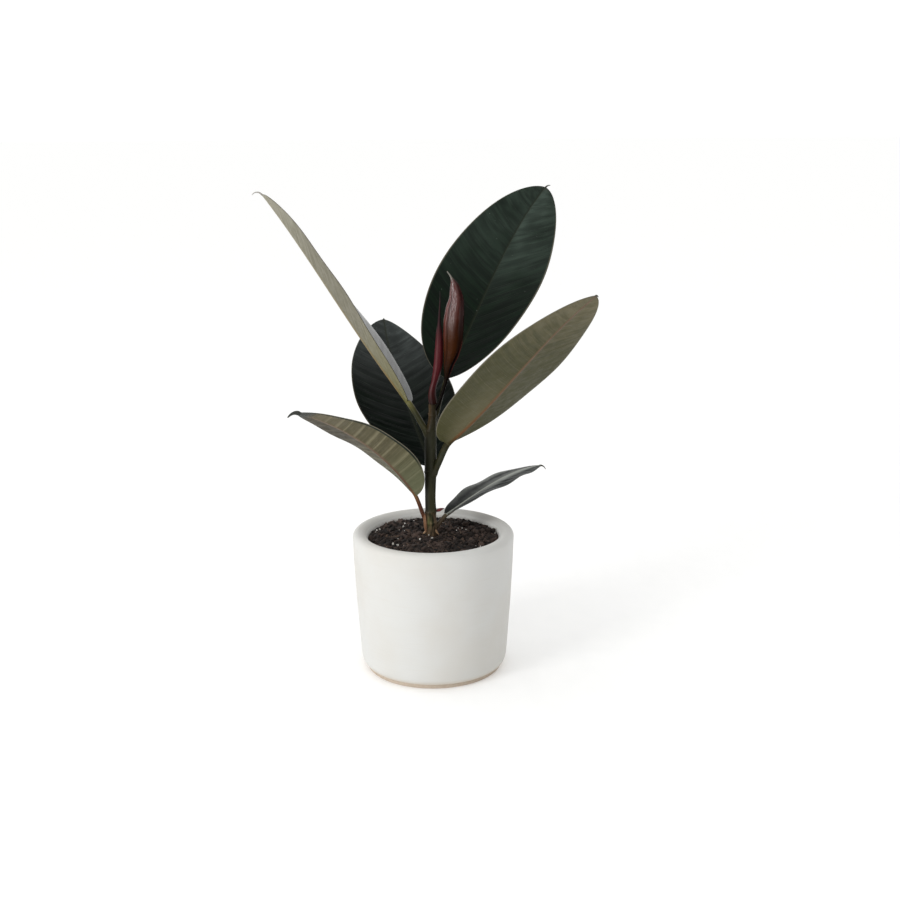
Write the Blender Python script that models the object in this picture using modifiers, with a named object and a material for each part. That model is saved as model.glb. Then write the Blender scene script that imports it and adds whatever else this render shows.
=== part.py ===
"""Potted rubber plant: a young plant with six leaves, in a thick-walled white ceramic pot.

Metres, +Z up. The origin is the middle of the pot's flat foot, at the height of the surface that it stands
on. +X is to the plant's right and -Y towards its front. Headings are degrees from +X towards +Y, and rises
are degrees above the horizontal.
"""

import math
import random
from dataclasses import dataclass

import bmesh
import bpy
import numpy as np
from mathutils import Vector

MM = 0.001
GAP = 0.3 * MM  # left between pieces that touch
MERGE = 0.05 * MM
SHARP_ANGLE = 50
CURVE_SPANS = 6
LINE_STEPS = 200  # that add up to a blade's midrib

# Pot
POT_HEIGHT = 131 * MM
POT_RIM_RADIUS = 74.7 * MM
POT_WAIST_RADIUS = 72 * MM
POT_WAIST_HEIGHT = 66 * MM
POT_HEEL_RADIUS = 68.4 * MM
POT_HEEL_HEIGHT = 15 * MM
POT_INNER_RADIUS = 60.7 * MM  # where the rim's inner round begins
POT_INNER_FOOT_RADIUS = 56 * MM
POT_FLOOR = 13 * MM
POT_INNER_FILLET = 4 * MM
RIM_OUTER_ROUND = 5.5 * MM
RIM_INNER_ROUND_HEIGHT = 8 * MM
FOOT_BAND_RADIUS = 63 * MM
FOOT_BAND_HEIGHT = 4.3 * MM
FOOT_BAND_STEP = 0.8 * MM
FOOT_CHAMFER = 0.6 * MM
TURNED_STEPS = 56

# Soil
SOIL_LEVEL = 125.8 * MM
SOIL_EDGE_DROP = 2 * MM
SOIL_RELIEF = 1.9 * MM
SOIL_RINGS = 13
SOIL_CLODS = 70
SOIL_CLOD_REACH = (5 * MM, 10 * MM)
SOIL_HOLLOW = 0.4  # depth of the hollows between the clods, as a share of the relief
SOIL_SEED = 11
SOIL_WALL_FADE = 6.5 * MM  # from the pot's wall, over which the relief fades away
SOIL_STEM_FADE = 12 * MM  # from the stem, over which it fades to the share below
SOIL_STEM_SHARE = 0.15

# Stem: height, distance to the right of the pot's axis and radius, at each point of its centre line
STEM_AT_SOIL = -1.9 * MM
STEM_PATH = (
    (84 * MM, STEM_AT_SOIL, 3.4 * MM),
    (90 * MM, STEM_AT_SOIL, 4.6 * MM),
    (108 * MM, STEM_AT_SOIL, 5.1 * MM),
    (130 * MM, STEM_AT_SOIL, 5.2 * MM),
    (150 * MM, -2.2 * MM, 5.0 * MM),
    (166 * MM, -2.4 * MM, 4.9 * MM),
    (184 * MM, -2.0 * MM, 5.4 * MM),
    (204 * MM, -1.8 * MM, 5.5 * MM),
    (222 * MM, -1.7 * MM, 5.4 * MM),
    (230 * MM, -0.6 * MM, 4.3 * MM),
    (237 * MM, 0.2 * MM, 3.7 * MM),
    (244 * MM, 0.5 * MM, 3.6 * MM),
    (250 * MM, 0.5 * MM, 3.7 * MM),
)
STEM_TOP = STEM_PATH[-1][0]
STEM_RING_STEP = 9 * MM
STEM_ROUNDNESS = 4
STEM_NODE_HEIGHTS = (139 * MM, 149 * MM, 187 * MM, 225 * MM, 240 * MM)
STEM_NODE_SWELL = 0.45 * MM
STEM_NODE_SPREAD = 1.8 * MM
SOCKET_RADIUS = 5.9 * MM
SOCKET_FLOOR = 83.7 * MM

# Leaves
BLADE_THICKNESS = 0.8 * MM
BLADE_STATIONS = 17
PETIOLE_STATIONS = 7
PETIOLE_PULLS = (0.35, 0.2)  # handles of a petiole's curve at its two ends, as shares of its reach
DRIP_STATIONS = 4
HALF_COLUMNS = 4  # strips of a blade between its midrib and its margin
RIB_DEPTH = 1.3 * MM  # of the midrib below the blade, at its base
RIB_GROOVE = 0.3 * MM  # of the midrib above
RIB_WIDTH = 1.1  # half of it, as a multiple of the petiole's radius there
WAVE = 0.7 * MM  # by which a margin waves
WAVE_SHIFT = 1.9  # of one margin's waves against the other's, in radians
DRIP_TIP_RADIUS = 0.45 * MM


@dataclass(frozen=True)
class Leaf:
    """One leaf. Angles that come in threes hold at the blade's base, middle and tip."""

    name: str
    node_height: float  # at which the petiole's centre line meets the stem's
    node_heading: float  # in which the petiole leaves the stem
    node_rise: float  # at which it leaves the stem
    petiole_radius: float
    base: tuple  # of the blade
    length: float  # of the blade, without its drip tip
    width: float
    rise: tuple  # of the midrib
    heading: tuple  # of the midrib
    roll: tuple  # about the midrib, lifting the right half
    left_fold: tuple  # by which the left half lifts
    right_fold: tuple
    widest: float  # exponent: below 1 the widest place is nearer to the base
    roundness: float  # exponent: lower is blunter
    drip: float  # length of the drip tip
    droop: float  # by which the drip tip bends down
    waves: float


LEAVES = (
    Leaf(
        name="leaf_upper_left",
        node_height=217.5 * MM,
        node_heading=175.7,
        node_rise=60.9,
        petiole_radius=3.1 * MM,
        base=(-21.4 * MM, -0.4 * MM, 251.8 * MM),
        length=243 * MM,
        width=97 * MM,
        rise=(36.6, 51, 49.4),
        heading=(134.4, 150.2, 161.3),
        roll=(42.7, 34.1, 32.2),
        left_fold=(14.6, 11.3, 9),
        right_fold=(22.5, 16.3, 8.9),
        widest=0.89,
        roundness=0.61,
        drip=12 * MM,
        droop=100,
        waves=2.5,
    ),
    Leaf(
        name="leaf_upper_right",
        node_height=221 * MM,
        node_heading=20,
        node_rise=68,
        petiole_radius=2.0 * MM,
        base=(13.4 * MM, 10.2 * MM, 271.8 * MM),
        length=225 * MM,
        width=109 * MM,
        rise=(41, 51, 37),
        heading=(60, 50, 45),
        roll=(5, 12, 25),
        left_fold=(19, 10, 9),
        right_fold=(17, 8, 2),
        widest=0.86,
        roundness=0.60,
        drip=7.5 * MM,
        droop=45,
        waves=2,
    ),
    Leaf(
        name="leaf_middle_back",
        node_height=172 * MM,
        node_heading=95,
        node_rise=35,
        petiole_radius=2.4 * MM,
        base=(-1.9 * MM, 18.9 * MM, 187 * MM),
        length=192 * MM,
        width=99 * MM,
        rise=(38, 37, 38),
        heading=(112, 110.5, 98),
        roll=(-9, -2, 6),
        left_fold=(5, 6, 7),
        right_fold=(7, 6, 5),
        widest=0.92,
        roundness=0.66,
        drip=5 * MM,
        droop=120,
        waves=3,
    ),
    Leaf(
        name="leaf_right",
        node_height=181 * MM,
        node_heading=-38,
        node_rise=52,
        petiole_radius=3.3 * MM,
        base=(14.8 * MM, -10.8 * MM, 216.4 * MM),
        length=220.5 * MM,
        width=95 * MM,
        rise=(34, 45, 37),
        heading=(-52, -43, -42),
        roll=(-3, -8, -15),
        left_fold=(8, 4, -3),
        right_fold=(8, 5, 0),
        widest=0.87,
        roundness=0.64,
        drip=3 * MM,
        droop=110,
        waves=2,
    ),
    Leaf(
        name="leaf_lower_left",
        node_height=131.3 * MM,
        node_heading=183,
        node_rise=53.7,
        petiole_radius=2.0 * MM,
        base=(-15.8 * MM, -4.9 * MM, 165 * MM),
        length=143 * MM,
        width=62.2 * MM,
        rise=(59.8, 37.7, 20.8),
        heading=(195.8, 196.9, 223),
        roll=(28, 23.7, 17.4),
        left_fold=(34.2, 16, 5.8),
        right_fold=(21, 5.7, -0.3),
        widest=0.77,
        roundness=0.67,
        drip=12 * MM,
        droop=65,
        waves=2.5,
    ),
    Leaf(
        name="leaf_lower_right",
        node_height=129.8 * MM,
        node_heading=15,
        node_rise=30,
        petiole_radius=2.2 * MM,
        base=(11.8 * MM, 5.9 * MM, 143 * MM),
        length=127 * MM,
        width=57 * MM,
        rise=(19, 14, -4),
        heading=(41, 42, 38),
        roll=(-16, -14, -9),
        left_fold=(10, 1, -1),
        right_fold=(12, 2, -2),
        widest=0.93,
        roundness=0.69,
        drip=7 * MM,
        droop=60,
        waves=2,
    ),
)

# New growth at the top. Each point is right, back, up, then half the width, in millimetres.
SHEATH_PATH = (
    (0.5, 0, 250.3, 3.8),
    (0.5, 0, 252.5, 4.0),
    (0.0, -0.4, 257, 3.8),
    (0.3, -0.8, 263, 3.3),
    (1.7, -1, 268.8, 3.0),
    (3.7, -1, 276.5, 3.6),
    (5.5, -1, 285.7, 4.2),
    (6.5, -1, 298.8, 4.0),
    (6.9, -1, 308.5, 3.5),
    (7.0, -1, 316.6, 2.8),
    (7.1, -1, 322.5, 1.8),
    (7.3, -1, 330.5, 1.1),
    (7.8, -1, 340.5, 0.7),
    (8.1, -1, 352, 0.35),
)
NEW_LEAF_PATH = (
    (0.0, -0.5, 241.5, 1.6),
    (5.5, -1.8, 250, 1.6),
    (9.9, -2.6, 262, 1.5),
    (12.8, -3.0, 272.5, 1.7),
    (15.3, -3.5, 286.2, 4.6),
    (18.3, -3.5, 298.9, 7.6),
    (19.5, -3.5, 310.3, 8.9),
    (20.0, -3.5, 322.2, 9.3),
    (21.2, -3.5, 334.8, 8.7),
    (22.4, -3.5, 346.3, 6.6),
    (20.9, -3.5, 357, 4.1),
    (19.4, -3.5, 361.7, 2.0),
    (18.2, -3.5, 364.2, 1.0),
    (16.6, -3.5, 367, 0.6),
    (14.3, -3.5, 370, 0.4),
)
NEW_LEAF_SIDES = 14
NEW_LEAF_DEPTH = 0.72  # front to back, as a share of the width
NEW_LEAF_SEAM = 0.07  # step at the rolled blade's outer edge, as a share of the width

# Dry remains at the lowest nodes
DRY_SCALE_PATH = (
    (-7.6, -4.1, 147.8, 0.4),
    (-7.6, -4.6, 144.3, 1.2),
    (-7.3, -4.9, 138.3, 1.5),
    (-6.9, -5.1, 133.3, 1.1),
    (-6.6, -5.2, 129.8, 0.4),
)
DRY_SCALE_DEPTH = 0.42
RED_SPUR_PATH = (
    (0.9, 0.0, 148.7, 0.9),
    (5.5, -0.4, 149.9, 1.5),
    (7.7, -0.6, 150.9, 1.2),
    (10.1, -0.8, 151.7, 0.4),
)
RED_SPUR_DEPTH = 0.8
ROOT_NUBS = (
    ((-4.6, -2, 132.3), (-9.3, -3.2, 127.9), 1.3),
    ((1.4, -2, 132), (5.2, -3.4, 127.2), 1.2),
)


def clear_scene():
    """Removes every object, and makes the collections for the plant and for its cutters."""
    for old in list(bpy.data.objects):
        bpy.data.objects.remove(old, do_unlink=True)
    made = []
    for name in ("potted_rubber_plant", "cutters"):
        collection = bpy.data.collections.new(name)
        bpy.context.scene.collection.children.link(collection)
        made.append(collection)
    return made


def linked(name, mesh, collection):
    """A new object for a mesh, in a collection."""
    obj = bpy.data.objects.new(name, mesh)
    collection.objects.link(obj)
    return obj


def finish(obj, colour, roughness, metallic=0.0):
    """Gives an object smooth shading, and a Principled material of its own."""
    obj.data.shade_smooth()
    obj.data.set_sharp_from_angle(angle=math.radians(SHARP_ANGLE))
    material = bpy.data.materials.new(obj.name)
    material.use_nodes = True
    shader = material.node_tree.nodes["Principled BSDF"]
    shader.inputs["Base Color"].default_value = (*colour, 1.0)
    shader.inputs["Roughness"].default_value = roughness
    shader.inputs["Metallic"].default_value = metallic
    obj.data.materials.clear()
    obj.data.materials.append(material)


def applied(obj):
    """Replaces an object by a mesh object of the same name, with its modifiers or its bevel applied."""
    collection = obj.users_collection[0]
    bpy.context.view_layer.update()
    evaluated = obj.evaluated_get(bpy.context.evaluated_depsgraph_get())
    mesh = bpy.data.meshes.new_from_object(evaluated)
    name, place = obj.name, obj.matrix_world.copy()
    bpy.data.objects.remove(obj, do_unlink=True)
    welded = bmesh.new()
    welded.from_mesh(mesh)
    bmesh.ops.remove_doubles(welded, verts=welded.verts, dist=MERGE)
    bmesh.ops.recalc_face_normals(welded, faces=welded.faces)
    welded.to_mesh(mesh)
    welded.free()
    solid = linked(name, mesh, collection)
    solid.matrix_world = place
    return solid


def boolean(obj, tool, operation):
    """Cuts an object with a tool, or joins the tool to it. The tool stays as a hidden guide."""
    modifier = obj.modifiers.new(f"{operation.lower()}_{tool.name}", "BOOLEAN")
    modifier.operation = operation
    modifier.solver = "EXACT"
    modifier.object = tool
    tool.hide_render = True
    tool.display_type = "WIRE"


def turned(name, profile, collection):
    """A mesh object for a profile of (radius, height) points turned about the Z axis."""
    mesh = bpy.data.meshes.new(name)
    points = [(radius, 0.0, height) for radius, height in profile]
    mesh.from_pydata(points, [(i, i + 1) for i in range(len(points) - 1)], [])
    obj = linked(name, mesh, collection)
    screw = obj.modifiers.new("turn", "SCREW")
    screw.axis = "Z"
    screw.steps = TURNED_STEPS
    screw.render_steps = TURNED_STEPS
    screw.use_merge_vertices = True
    screw.merge_threshold = MERGE
    return applied(obj)


def arc(centre, radii, start, end, count):
    """Points of an ellipse's arc between two angles in degrees."""
    angles = np.radians(np.linspace(start, end, count))
    return [(centre[0] + radii[0] * math.cos(a), centre[1] + radii[1] * math.sin(a)) for a in angles]


def smooth_path(points, spans):
    """A curve through rows of numbers, with the given number of straight spans between two rows."""
    rows = np.array(points, dtype=float)
    padded = np.vstack([2 * rows[0] - rows[1], rows, 2 * rows[-1] - rows[-2]])
    curve = []
    for a, b, c, d in zip(padded, padded[1:], padded[2:], padded[3:]):
        for t in np.arange(spans) / spans:
            bend = (2 * a - 5 * b + 4 * c - d) * t**2 + (3 * b - a - 3 * c + d) * t**3
            curve.append(b + 0.5 * ((c - a) * t + bend))
    curve.append(rows[-1])
    return np.array(curve)


def tube(name, centres, radii, resolution, collection):
    """A closed tube along a line of points, with a radius at each point."""
    curve = bpy.data.curves.new(name, "CURVE")
    curve.dimensions = "3D"
    curve.bevel_depth = 1.0
    curve.bevel_resolution = resolution
    curve.use_fill_caps = True
    spline = curve.splines.new("POLY")
    spline.points.add(len(centres) - 1)
    for point, centre, radius in zip(spline.points, centres, radii):
        point.co = (*centre, 1.0)
        point.radius = radius
    return applied(linked(name, curve, collection))


def loft(name, rings, collection, two_faced=False):
    """A closed solid through rings of equally many points, with a flat cap on each end.

    A two-faced ring runs over the upper face and back under the lower one. Its strips are then split into
    triangles alike on both faces, so that a thin bent blade keeps its thickness.
    """
    skin = bmesh.new()
    rows = [[skin.verts.new(point) for point in ring] for ring in rings]
    sides = len(rows[0])
    for near, far in zip(rows, rows[1:]):
        for k in range(sides):
            n = (k + 1) % sides
            if two_faced and k >= sides // 2:
                skin.faces.new((near[k], near[n], far[k]))
                skin.faces.new((near[n], far[n], far[k]))
            else:
                skin.faces.new((near[k], near[n], far[n]))
                skin.faces.new((near[k], far[n], far[k]))
    skin.faces.new(rows[0])
    skin.faces.new(rows[-1])
    bmesh.ops.recalc_face_normals(skin, faces=skin.faces)
    mesh = bpy.data.meshes.new(name)
    skin.to_mesh(mesh)
    skin.free()
    return linked(name, mesh, collection)


def inner_wall(height):
    """Inner radius of the pot at a height."""
    share = (height - POT_FLOOR) / (POT_HEIGHT - RIM_INNER_ROUND_HEIGHT - POT_FLOOR)
    return POT_INNER_FOOT_RADIUS + (POT_INNER_RADIUS - POT_INNER_FOOT_RADIUS) * share


def build_pot(collection):
    """The ceramic pot: a closed floor, a thick wall with a fully rounded rim, and a bare foot band."""
    rim_base = POT_HEIGHT - RIM_OUTER_ROUND
    heights = (POT_HEEL_HEIGHT, POT_WAIST_HEIGHT, rim_base)
    side = np.polyfit(heights, (POT_HEEL_RADIUS, POT_WAIST_RADIUS, POT_RIM_RADIUS), 2)
    heel_radius = FOOT_BAND_RADIUS + FOOT_BAND_STEP
    heel = (POT_HEEL_RADIUS - heel_radius, POT_HEEL_HEIGHT - FOOT_BAND_HEIGHT)
    profile = [(0.0, POT_FLOOR)]
    profile += [(POT_INNER_FOOT_RADIUS - POT_INNER_FILLET, POT_FLOOR)]
    fillet_top = POT_FLOOR + POT_INNER_FILLET
    profile += [(inner_wall(fillet_top), fillet_top)]
    crest_radius = POT_RIM_RADIUS - RIM_OUTER_ROUND
    inner_round = (crest_radius - POT_INNER_RADIUS, RIM_INNER_ROUND_HEIGHT)
    profile += arc((crest_radius, POT_HEIGHT - RIM_INNER_ROUND_HEIGHT), inner_round, 180, 90, 5)
    profile += arc((crest_radius, rim_base), (RIM_OUTER_ROUND, RIM_OUTER_ROUND), 90, 0, 5)[1:]
    for height in np.linspace(rim_base, POT_HEEL_HEIGHT, 5)[1:-1]:
        profile.append((float(np.polyval(side, height)), float(height)))
    profile += arc((heel_radius, POT_HEEL_HEIGHT), heel, 0, -90, 4)
    profile += [(FOOT_BAND_RADIUS, FOOT_BAND_HEIGHT), (FOOT_BAND_RADIUS, FOOT_CHAMFER)]
    profile += [(FOOT_BAND_RADIUS - FOOT_CHAMFER, 0.0), (0.0, 0.0)]
    pot = turned("pot", profile, collection)
    finish(pot, (0.83, 0.82, 0.79), 0.55)


def soil_relief(x, y, clods):
    """Height of the clods at a place on the soil. It fades towards the pot's wall and the stem."""
    height = max(top * (1 - math.hypot(x - cx, y - cy) ** 2 / reach**2) for cx, cy, reach, top in clods)
    from_wall = inner_wall(SOIL_LEVEL) - math.hypot(x, y)
    from_stem = math.hypot(x - STEM_AT_SOIL, y) - SOCKET_RADIUS
    fade = min(1.0, from_wall / SOIL_WALL_FADE, max(SOIL_STEM_SHARE, from_stem / SOIL_STEM_FADE))
    return max(height, -SOIL_HOLLOW * SOIL_RELIEF) * fade


def build_soil(collection, cutters):
    """The potting mix: a plug that fills the pot, lumpy on top, with a plain hole for the buried stem."""
    edge_height = SOIL_LEVEL - SOIL_EDGE_DROP
    edge_radius = inner_wall(edge_height) - GAP
    profile = []
    for share in np.linspace(0, 1, SOIL_RINGS + 1):
        profile.append((edge_radius * float(share), SOIL_LEVEL - SOIL_EDGE_DROP * float(share) ** 4))
    floor = POT_FLOOR + GAP
    profile += [(inner_wall(floor + POT_INNER_FILLET) - GAP, floor + POT_INNER_FILLET)]
    profile += [(POT_INNER_FOOT_RADIUS - POT_INNER_FILLET - GAP, floor), (0.0, floor)]
    soil = turned("soil", profile, collection)
    draw = random.Random(SOIL_SEED)
    clods = []
    for _ in range(SOIL_CLODS):
        away, turn = edge_radius * math.sqrt(draw.random()), draw.uniform(0, math.tau)
        reach, top = draw.uniform(*SOIL_CLOD_REACH), draw.uniform(0.5, 1.0) * SOIL_RELIEF
        clods.append((away * math.cos(turn), away * math.sin(turn), reach, top))
    for vertex in soil.data.vertices:
        if vertex.co.z > edge_height + MERGE:
            vertex.co.z += soil_relief(vertex.co.x, vertex.co.y, clods)
    depth = POT_HEIGHT - SOCKET_FLOOR
    bpy.ops.mesh.primitive_cylinder_add(
        vertices=20,
        radius=SOCKET_RADIUS,
        depth=depth,
        location=(STEM_AT_SOIL, 0, SOCKET_FLOOR + depth / 2),
    )
    socket = bpy.context.object
    socket.name = "stem_socket"
    for old in list(socket.users_collection):
        old.objects.unlink(socket)
    cutters.objects.link(socket)
    boolean(soil, socket, "DIFFERENCE")
    finish(soil, (0.045, 0.030, 0.022), 0.95)


def stem_line(extra=0.0):
    """Centres and radii of the stem, with a swelling at each node. The radii grow by extra."""
    line = smooth_path(STEM_PATH, CURVE_SPANS)
    heights = list(np.arange(STEM_PATH[0][0], STEM_TOP, STEM_RING_STEP))
    for node in STEM_NODE_HEIGHTS:
        heights += [node - STEM_NODE_SPREAD, node, node + STEM_NODE_SPREAD]
    heights = sorted({round(float(height), 5) for height in heights} | {STEM_TOP})
    kept = [heights[0]]
    for height in heights[1:]:
        if height - kept[-1] > 1 * MM:
            kept.append(height)
    centres, radii = [], []
    for height in kept:
        right = float(np.interp(height, line[:, 0], line[:, 1]))
        swell = max(math.exp(-(((height - n) / STEM_NODE_SPREAD) ** 2)) for n in STEM_NODE_HEIGHTS)
        radius = float(np.interp(height, line[:, 0], line[:, 2])) + STEM_NODE_SWELL * swell
        centres.append((right, 0.0, height))
        radii.append(radius + extra)
    return centres, radii


def build_stem(collection, cutters):
    """The stem with its nodes and two root nubs. Returns a slightly thicker stem, to fit pieces to it."""
    stem = tube("stem", *stem_line(), STEM_ROUNDNESS, collection)
    for number, (start, end, radius) in enumerate(ROOT_NUBS, 1):
        line = np.array([start, end]) * MM
        nub = tube(f"root_nub_{number}", line, (radius * MM, 0.5 * radius * MM), 2, cutters)
        boolean(stem, nub, "UNION")
    finish(stem, (0.070, 0.072, 0.040), 0.55)
    return tube("stem_clearance", *stem_line(extra=GAP), STEM_ROUNDNESS, cutters)


def between(three, along):
    """The smooth value, at each share along a blade, of an angle given at its base, middle and tip."""
    base, middle, tip = three
    rest = 1 - along
    return base * rest * (rest - along) + 4 * middle * along * rest + tip * along * (along - rest)


def directions(rise, heading):
    """Unit vectors for arrays of rises and headings in degrees."""
    up, turn = np.radians(rise), np.radians(heading)
    return np.stack([np.cos(up) * np.cos(turn), np.cos(up) * np.sin(turn), np.sin(up)], axis=-1)


def travelled(start, steps):
    """Places reached from a start by adding up steps."""
    return np.vstack([np.zeros(3), np.cumsum(steps, axis=0)]) + np.array(start)


def leaf_line(leaf, blade_shares):
    """Places and directions of a leaf's centre line: (petiole, blade, drip tip), each a pair of arrays."""
    fine = np.linspace(0, 1, LINE_STEPS + 1)
    ahead = directions(between(leaf.rise, fine), between(leaf.heading, fine))
    places = travelled(leaf.base, (ahead[1:] + ahead[:-1]) / 2 * leaf.length / LINE_STEPS)
    blade = [
        np.stack([np.interp(blade_shares, fine, row) for row in rows.T], axis=-1)
        for rows in (places, ahead)
    ]

    line = smooth_path(STEM_PATH, CURVE_SPANS)
    start = np.array([np.interp(leaf.node_height, line[:, 0], line[:, 1]), 0.0, leaf.node_height])
    reach = np.linalg.norm(np.array(leaf.base) - start)
    leaving = directions(np.array(leaf.node_rise), np.array(leaf.node_heading))
    handles = (start, start + PETIOLE_PULLS[0] * reach * leaving)
    handles += (np.array(leaf.base) - PETIOLE_PULLS[1] * reach * ahead[0],)
    t = np.linspace(0, 1, PETIOLE_STATIONS + 1)[:-1, None]
    a, b, c, d = (*handles, np.array(leaf.base))
    places_in = a * (1 - t) ** 3 + 3 * b * t * (1 - t) ** 2 + 3 * c * t**2 * (1 - t) + d * t**3
    ahead_in = (b - a) * (1 - t) ** 2 + 2 * (c - b) * t * (1 - t) + (d - c) * t**2
    ahead_in /= np.linalg.norm(ahead_in, axis=1)[:, None]

    share = np.linspace(0, 1, DRIP_STATIONS + 1)
    last_rise, last_heading = leaf.rise[2], leaf.heading[2]
    ahead_out = directions(last_rise - leaf.droop * share, last_heading + 0 * share)
    steps = (ahead_out[1:] + ahead_out[:-1]) / 2 * leaf.drip / DRIP_STATIONS
    places_out = travelled(places[-1], steps)
    return (places_in, ahead_in), blade, (places_out[1:], ahead_out[1:])


def leaf_rings(leaf, number):
    """Rings of a leaf, from the petiole's end in the stem to the end of the drip tip.

    Each ring runs over the upper face from the left margin to the right one and back under the lower face.
    It is an ellipse on the petiole and the drip tip, and a folded strip with a midrib on the blade.
    """
    t = (1 - np.cos(np.pi * np.linspace(0, 1, BLADE_STATIONS))) / 2
    petiole, blade, drip = leaf_line(leaf, t)
    places = np.vstack([petiole[0], blade[0], drip[0]])
    ahead = np.vstack([petiole[1], blade[1], drip[1]])
    share = np.concatenate([np.zeros(PETIOLE_STATIONS), t, np.ones(DRIP_STATIONS)])
    tip_radius = 2 * DRIP_TIP_RADIUS
    core = leaf.petiole_radius + (tip_radius - leaf.petiole_radius) * share**0.6
    core[-DRIP_STATIONS:] = np.linspace(tip_radius, DRIP_TIP_RADIUS, DRIP_STATIONS)
    outline = np.clip(np.sin(np.pi * share**leaf.widest), 0, 1) ** leaf.roundness
    half_width = np.maximum(leaf.width / 2 * outline, core)
    flat = np.clip(half_width / core - 1, 0, 1)
    roll = np.radians(between(leaf.roll, share))
    roll[:PETIOLE_STATIONS] *= np.linspace(0, 1, PETIOLE_STATIONS)

    level = np.array([0.0, 0.0, 1.0]) - ahead * ahead[:, 2:3]
    level /= np.linalg.norm(level, axis=1)[:, None]
    right_level = np.cross(ahead, level)
    up = level * np.cos(roll)[:, None] + right_level * np.sin(roll)[:, None]
    right = right_level * np.cos(roll)[:, None] - level * np.sin(roll)[:, None]

    columns = 2 * HALF_COLUMNS + 1
    spread = np.linspace(0, 1, HALF_COLUMNS)
    rings = []
    for i, at in enumerate(share):
        rib = min(RIB_WIDTH * core[i], 0.5 * half_width[i])
        half = rib + (half_width[i] - rib) * spread
        across = np.concatenate([-half[::-1], [0.0], half])
        margin = np.abs(across) / half_width[i]
        phase = math.tau * leaf.waves * at + number + np.where(across > 0, WAVE_SHIFT, 0.0)
        wave = WAVE * math.sin(math.pi * at) * margin**2 * np.sin(phase)
        upper = BLADE_THICKNESS / 2 + wave
        lower = -BLADE_THICKNESS / 2 + wave
        upper[HALF_COLUMNS] -= RIB_GROOVE
        lower[HALF_COLUMNS] -= RIB_DEPTH * (1 - at) ** 0.7
        turn = np.radians(180 - (np.arange(columns) + 0.5) * 180 / columns)
        fold_left = math.radians(float(between(leaf.left_fold, at)))
        fold_right = math.radians(float(between(leaf.right_fold, at)))
        fold = np.where(across > 0, fold_right, fold_left) * flat[i] * (across != 0)
        ring = []
        for side, heights in ((1, upper), (-1, lower)):
            x = core[i] * np.cos(turn) * (1 - flat[i]) + across * flat[i]
            z = side * core[i] * np.sin(turn) * (1 - flat[i]) + heights * flat[i]
            outward = np.abs(x) * np.sin(fold) + z * np.cos(fold)
            sideways = x * np.cos(fold) - np.sign(x) * z * np.sin(fold)
            points = places[i] + sideways[:, None] * right[i] + outward[:, None] * up[i]
            ring += list(points[::side])
        rings.append(ring)
    return rings


def build_leaf(leaf, number, clearance, collection):
    """One leaf: petiole, blade with midrib, and drip tip. Its petiole is cut to sit against the stem."""
    obj = loft(leaf.name, leaf_rings(leaf, number), collection, two_faced=True)
    boolean(obj, clearance, "DIFFERENCE")
    finish(obj, (0.060, 0.085, 0.045), 0.35)


def spindle_rings(path, sides, depth, seam=0.0):
    """Elliptical rings along a path of (right, back, up, half width). The seam steps out on one side."""
    line = smooth_path(path, 1) * MM
    centres, widths = line[:, :3], line[:, 3]
    ahead = np.gradient(centres, axis=0)
    rings = []
    for centre, width, forward in zip(centres, widths, ahead):
        back = Vector((0, 1, 0))
        sideways = back.cross(Vector(forward)).normalized()
        back = Vector(forward).cross(sideways).normalized()
        ring = []
        for k in range(sides):
            turn = math.pi + math.tau * k / sides
            grown = width * (1 - seam * k / sides)
            offset = sideways * grown * math.cos(turn) + back * grown * depth * math.sin(turn)
            ring.append(Vector(centre) + offset)
        rings.append(ring)
    return rings


def build_growth(clearance, collection):
    """The new growth at the top: the pointed red sheath, and the newest leaf, still rolled up."""
    line = smooth_path(SHEATH_PATH, 2) * MM
    sheath = tube("tip_sheath", line[:, :3], line[:, 3], 3, collection)
    finish(sheath, (0.150, 0.020, 0.022), 0.45)
    rings = spindle_rings(NEW_LEAF_PATH, NEW_LEAF_SIDES, NEW_LEAF_DEPTH, NEW_LEAF_SEAM)
    rolled = loft("rolled_new_leaf", rings, collection)
    boolean(rolled, clearance, "DIFFERENCE")
    finish(rolled, (0.110, 0.035, 0.022), 0.30)


def build_remains(clearance, collection):
    """The dry scale and the small red spur that older sheaths left at the lowest nodes."""
    scale = loft("dry_scale", spindle_rings(DRY_SCALE_PATH, 8, DRY_SCALE_DEPTH), collection)
    finish(scale, (0.250, 0.150, 0.090), 0.80)
    spur = loft("red_spur", spindle_rings(RED_SPUR_PATH, 8, RED_SPUR_DEPTH), collection)
    boolean(spur, clearance, "DIFFERENCE")
    finish(spur, (0.140, 0.035, 0.035), 0.60)


def main():
    """Builds the plant in its pot."""
    plant, cutters = clear_scene()
    build_pot(plant)
    build_soil(plant, cutters)
    clearance = build_stem(plant, cutters)
    for number, leaf in enumerate(LEAVES, 1):
        build_leaf(leaf, number, clearance, plant)
    build_growth(clearance, plant)
    build_remains(clearance, plant)
    for guide in cutters.objects:
        guide.hide_render = True
        guide.display_type = "WIRE"


main()
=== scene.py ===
"""The looks of the potted rubber plant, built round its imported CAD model.

Metres, +Z up, as in the CAD: +X is to the plant's right and -Y towards its front. Every piece stands for
the CAD solid of the same form, or lies on one.
"""

import logging
import math
import random
from dataclasses import dataclass
from enum import Enum, IntEnum

import bmesh
import bpy
import numpy as np
from mathutils import Matrix, Vector, noise


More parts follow.
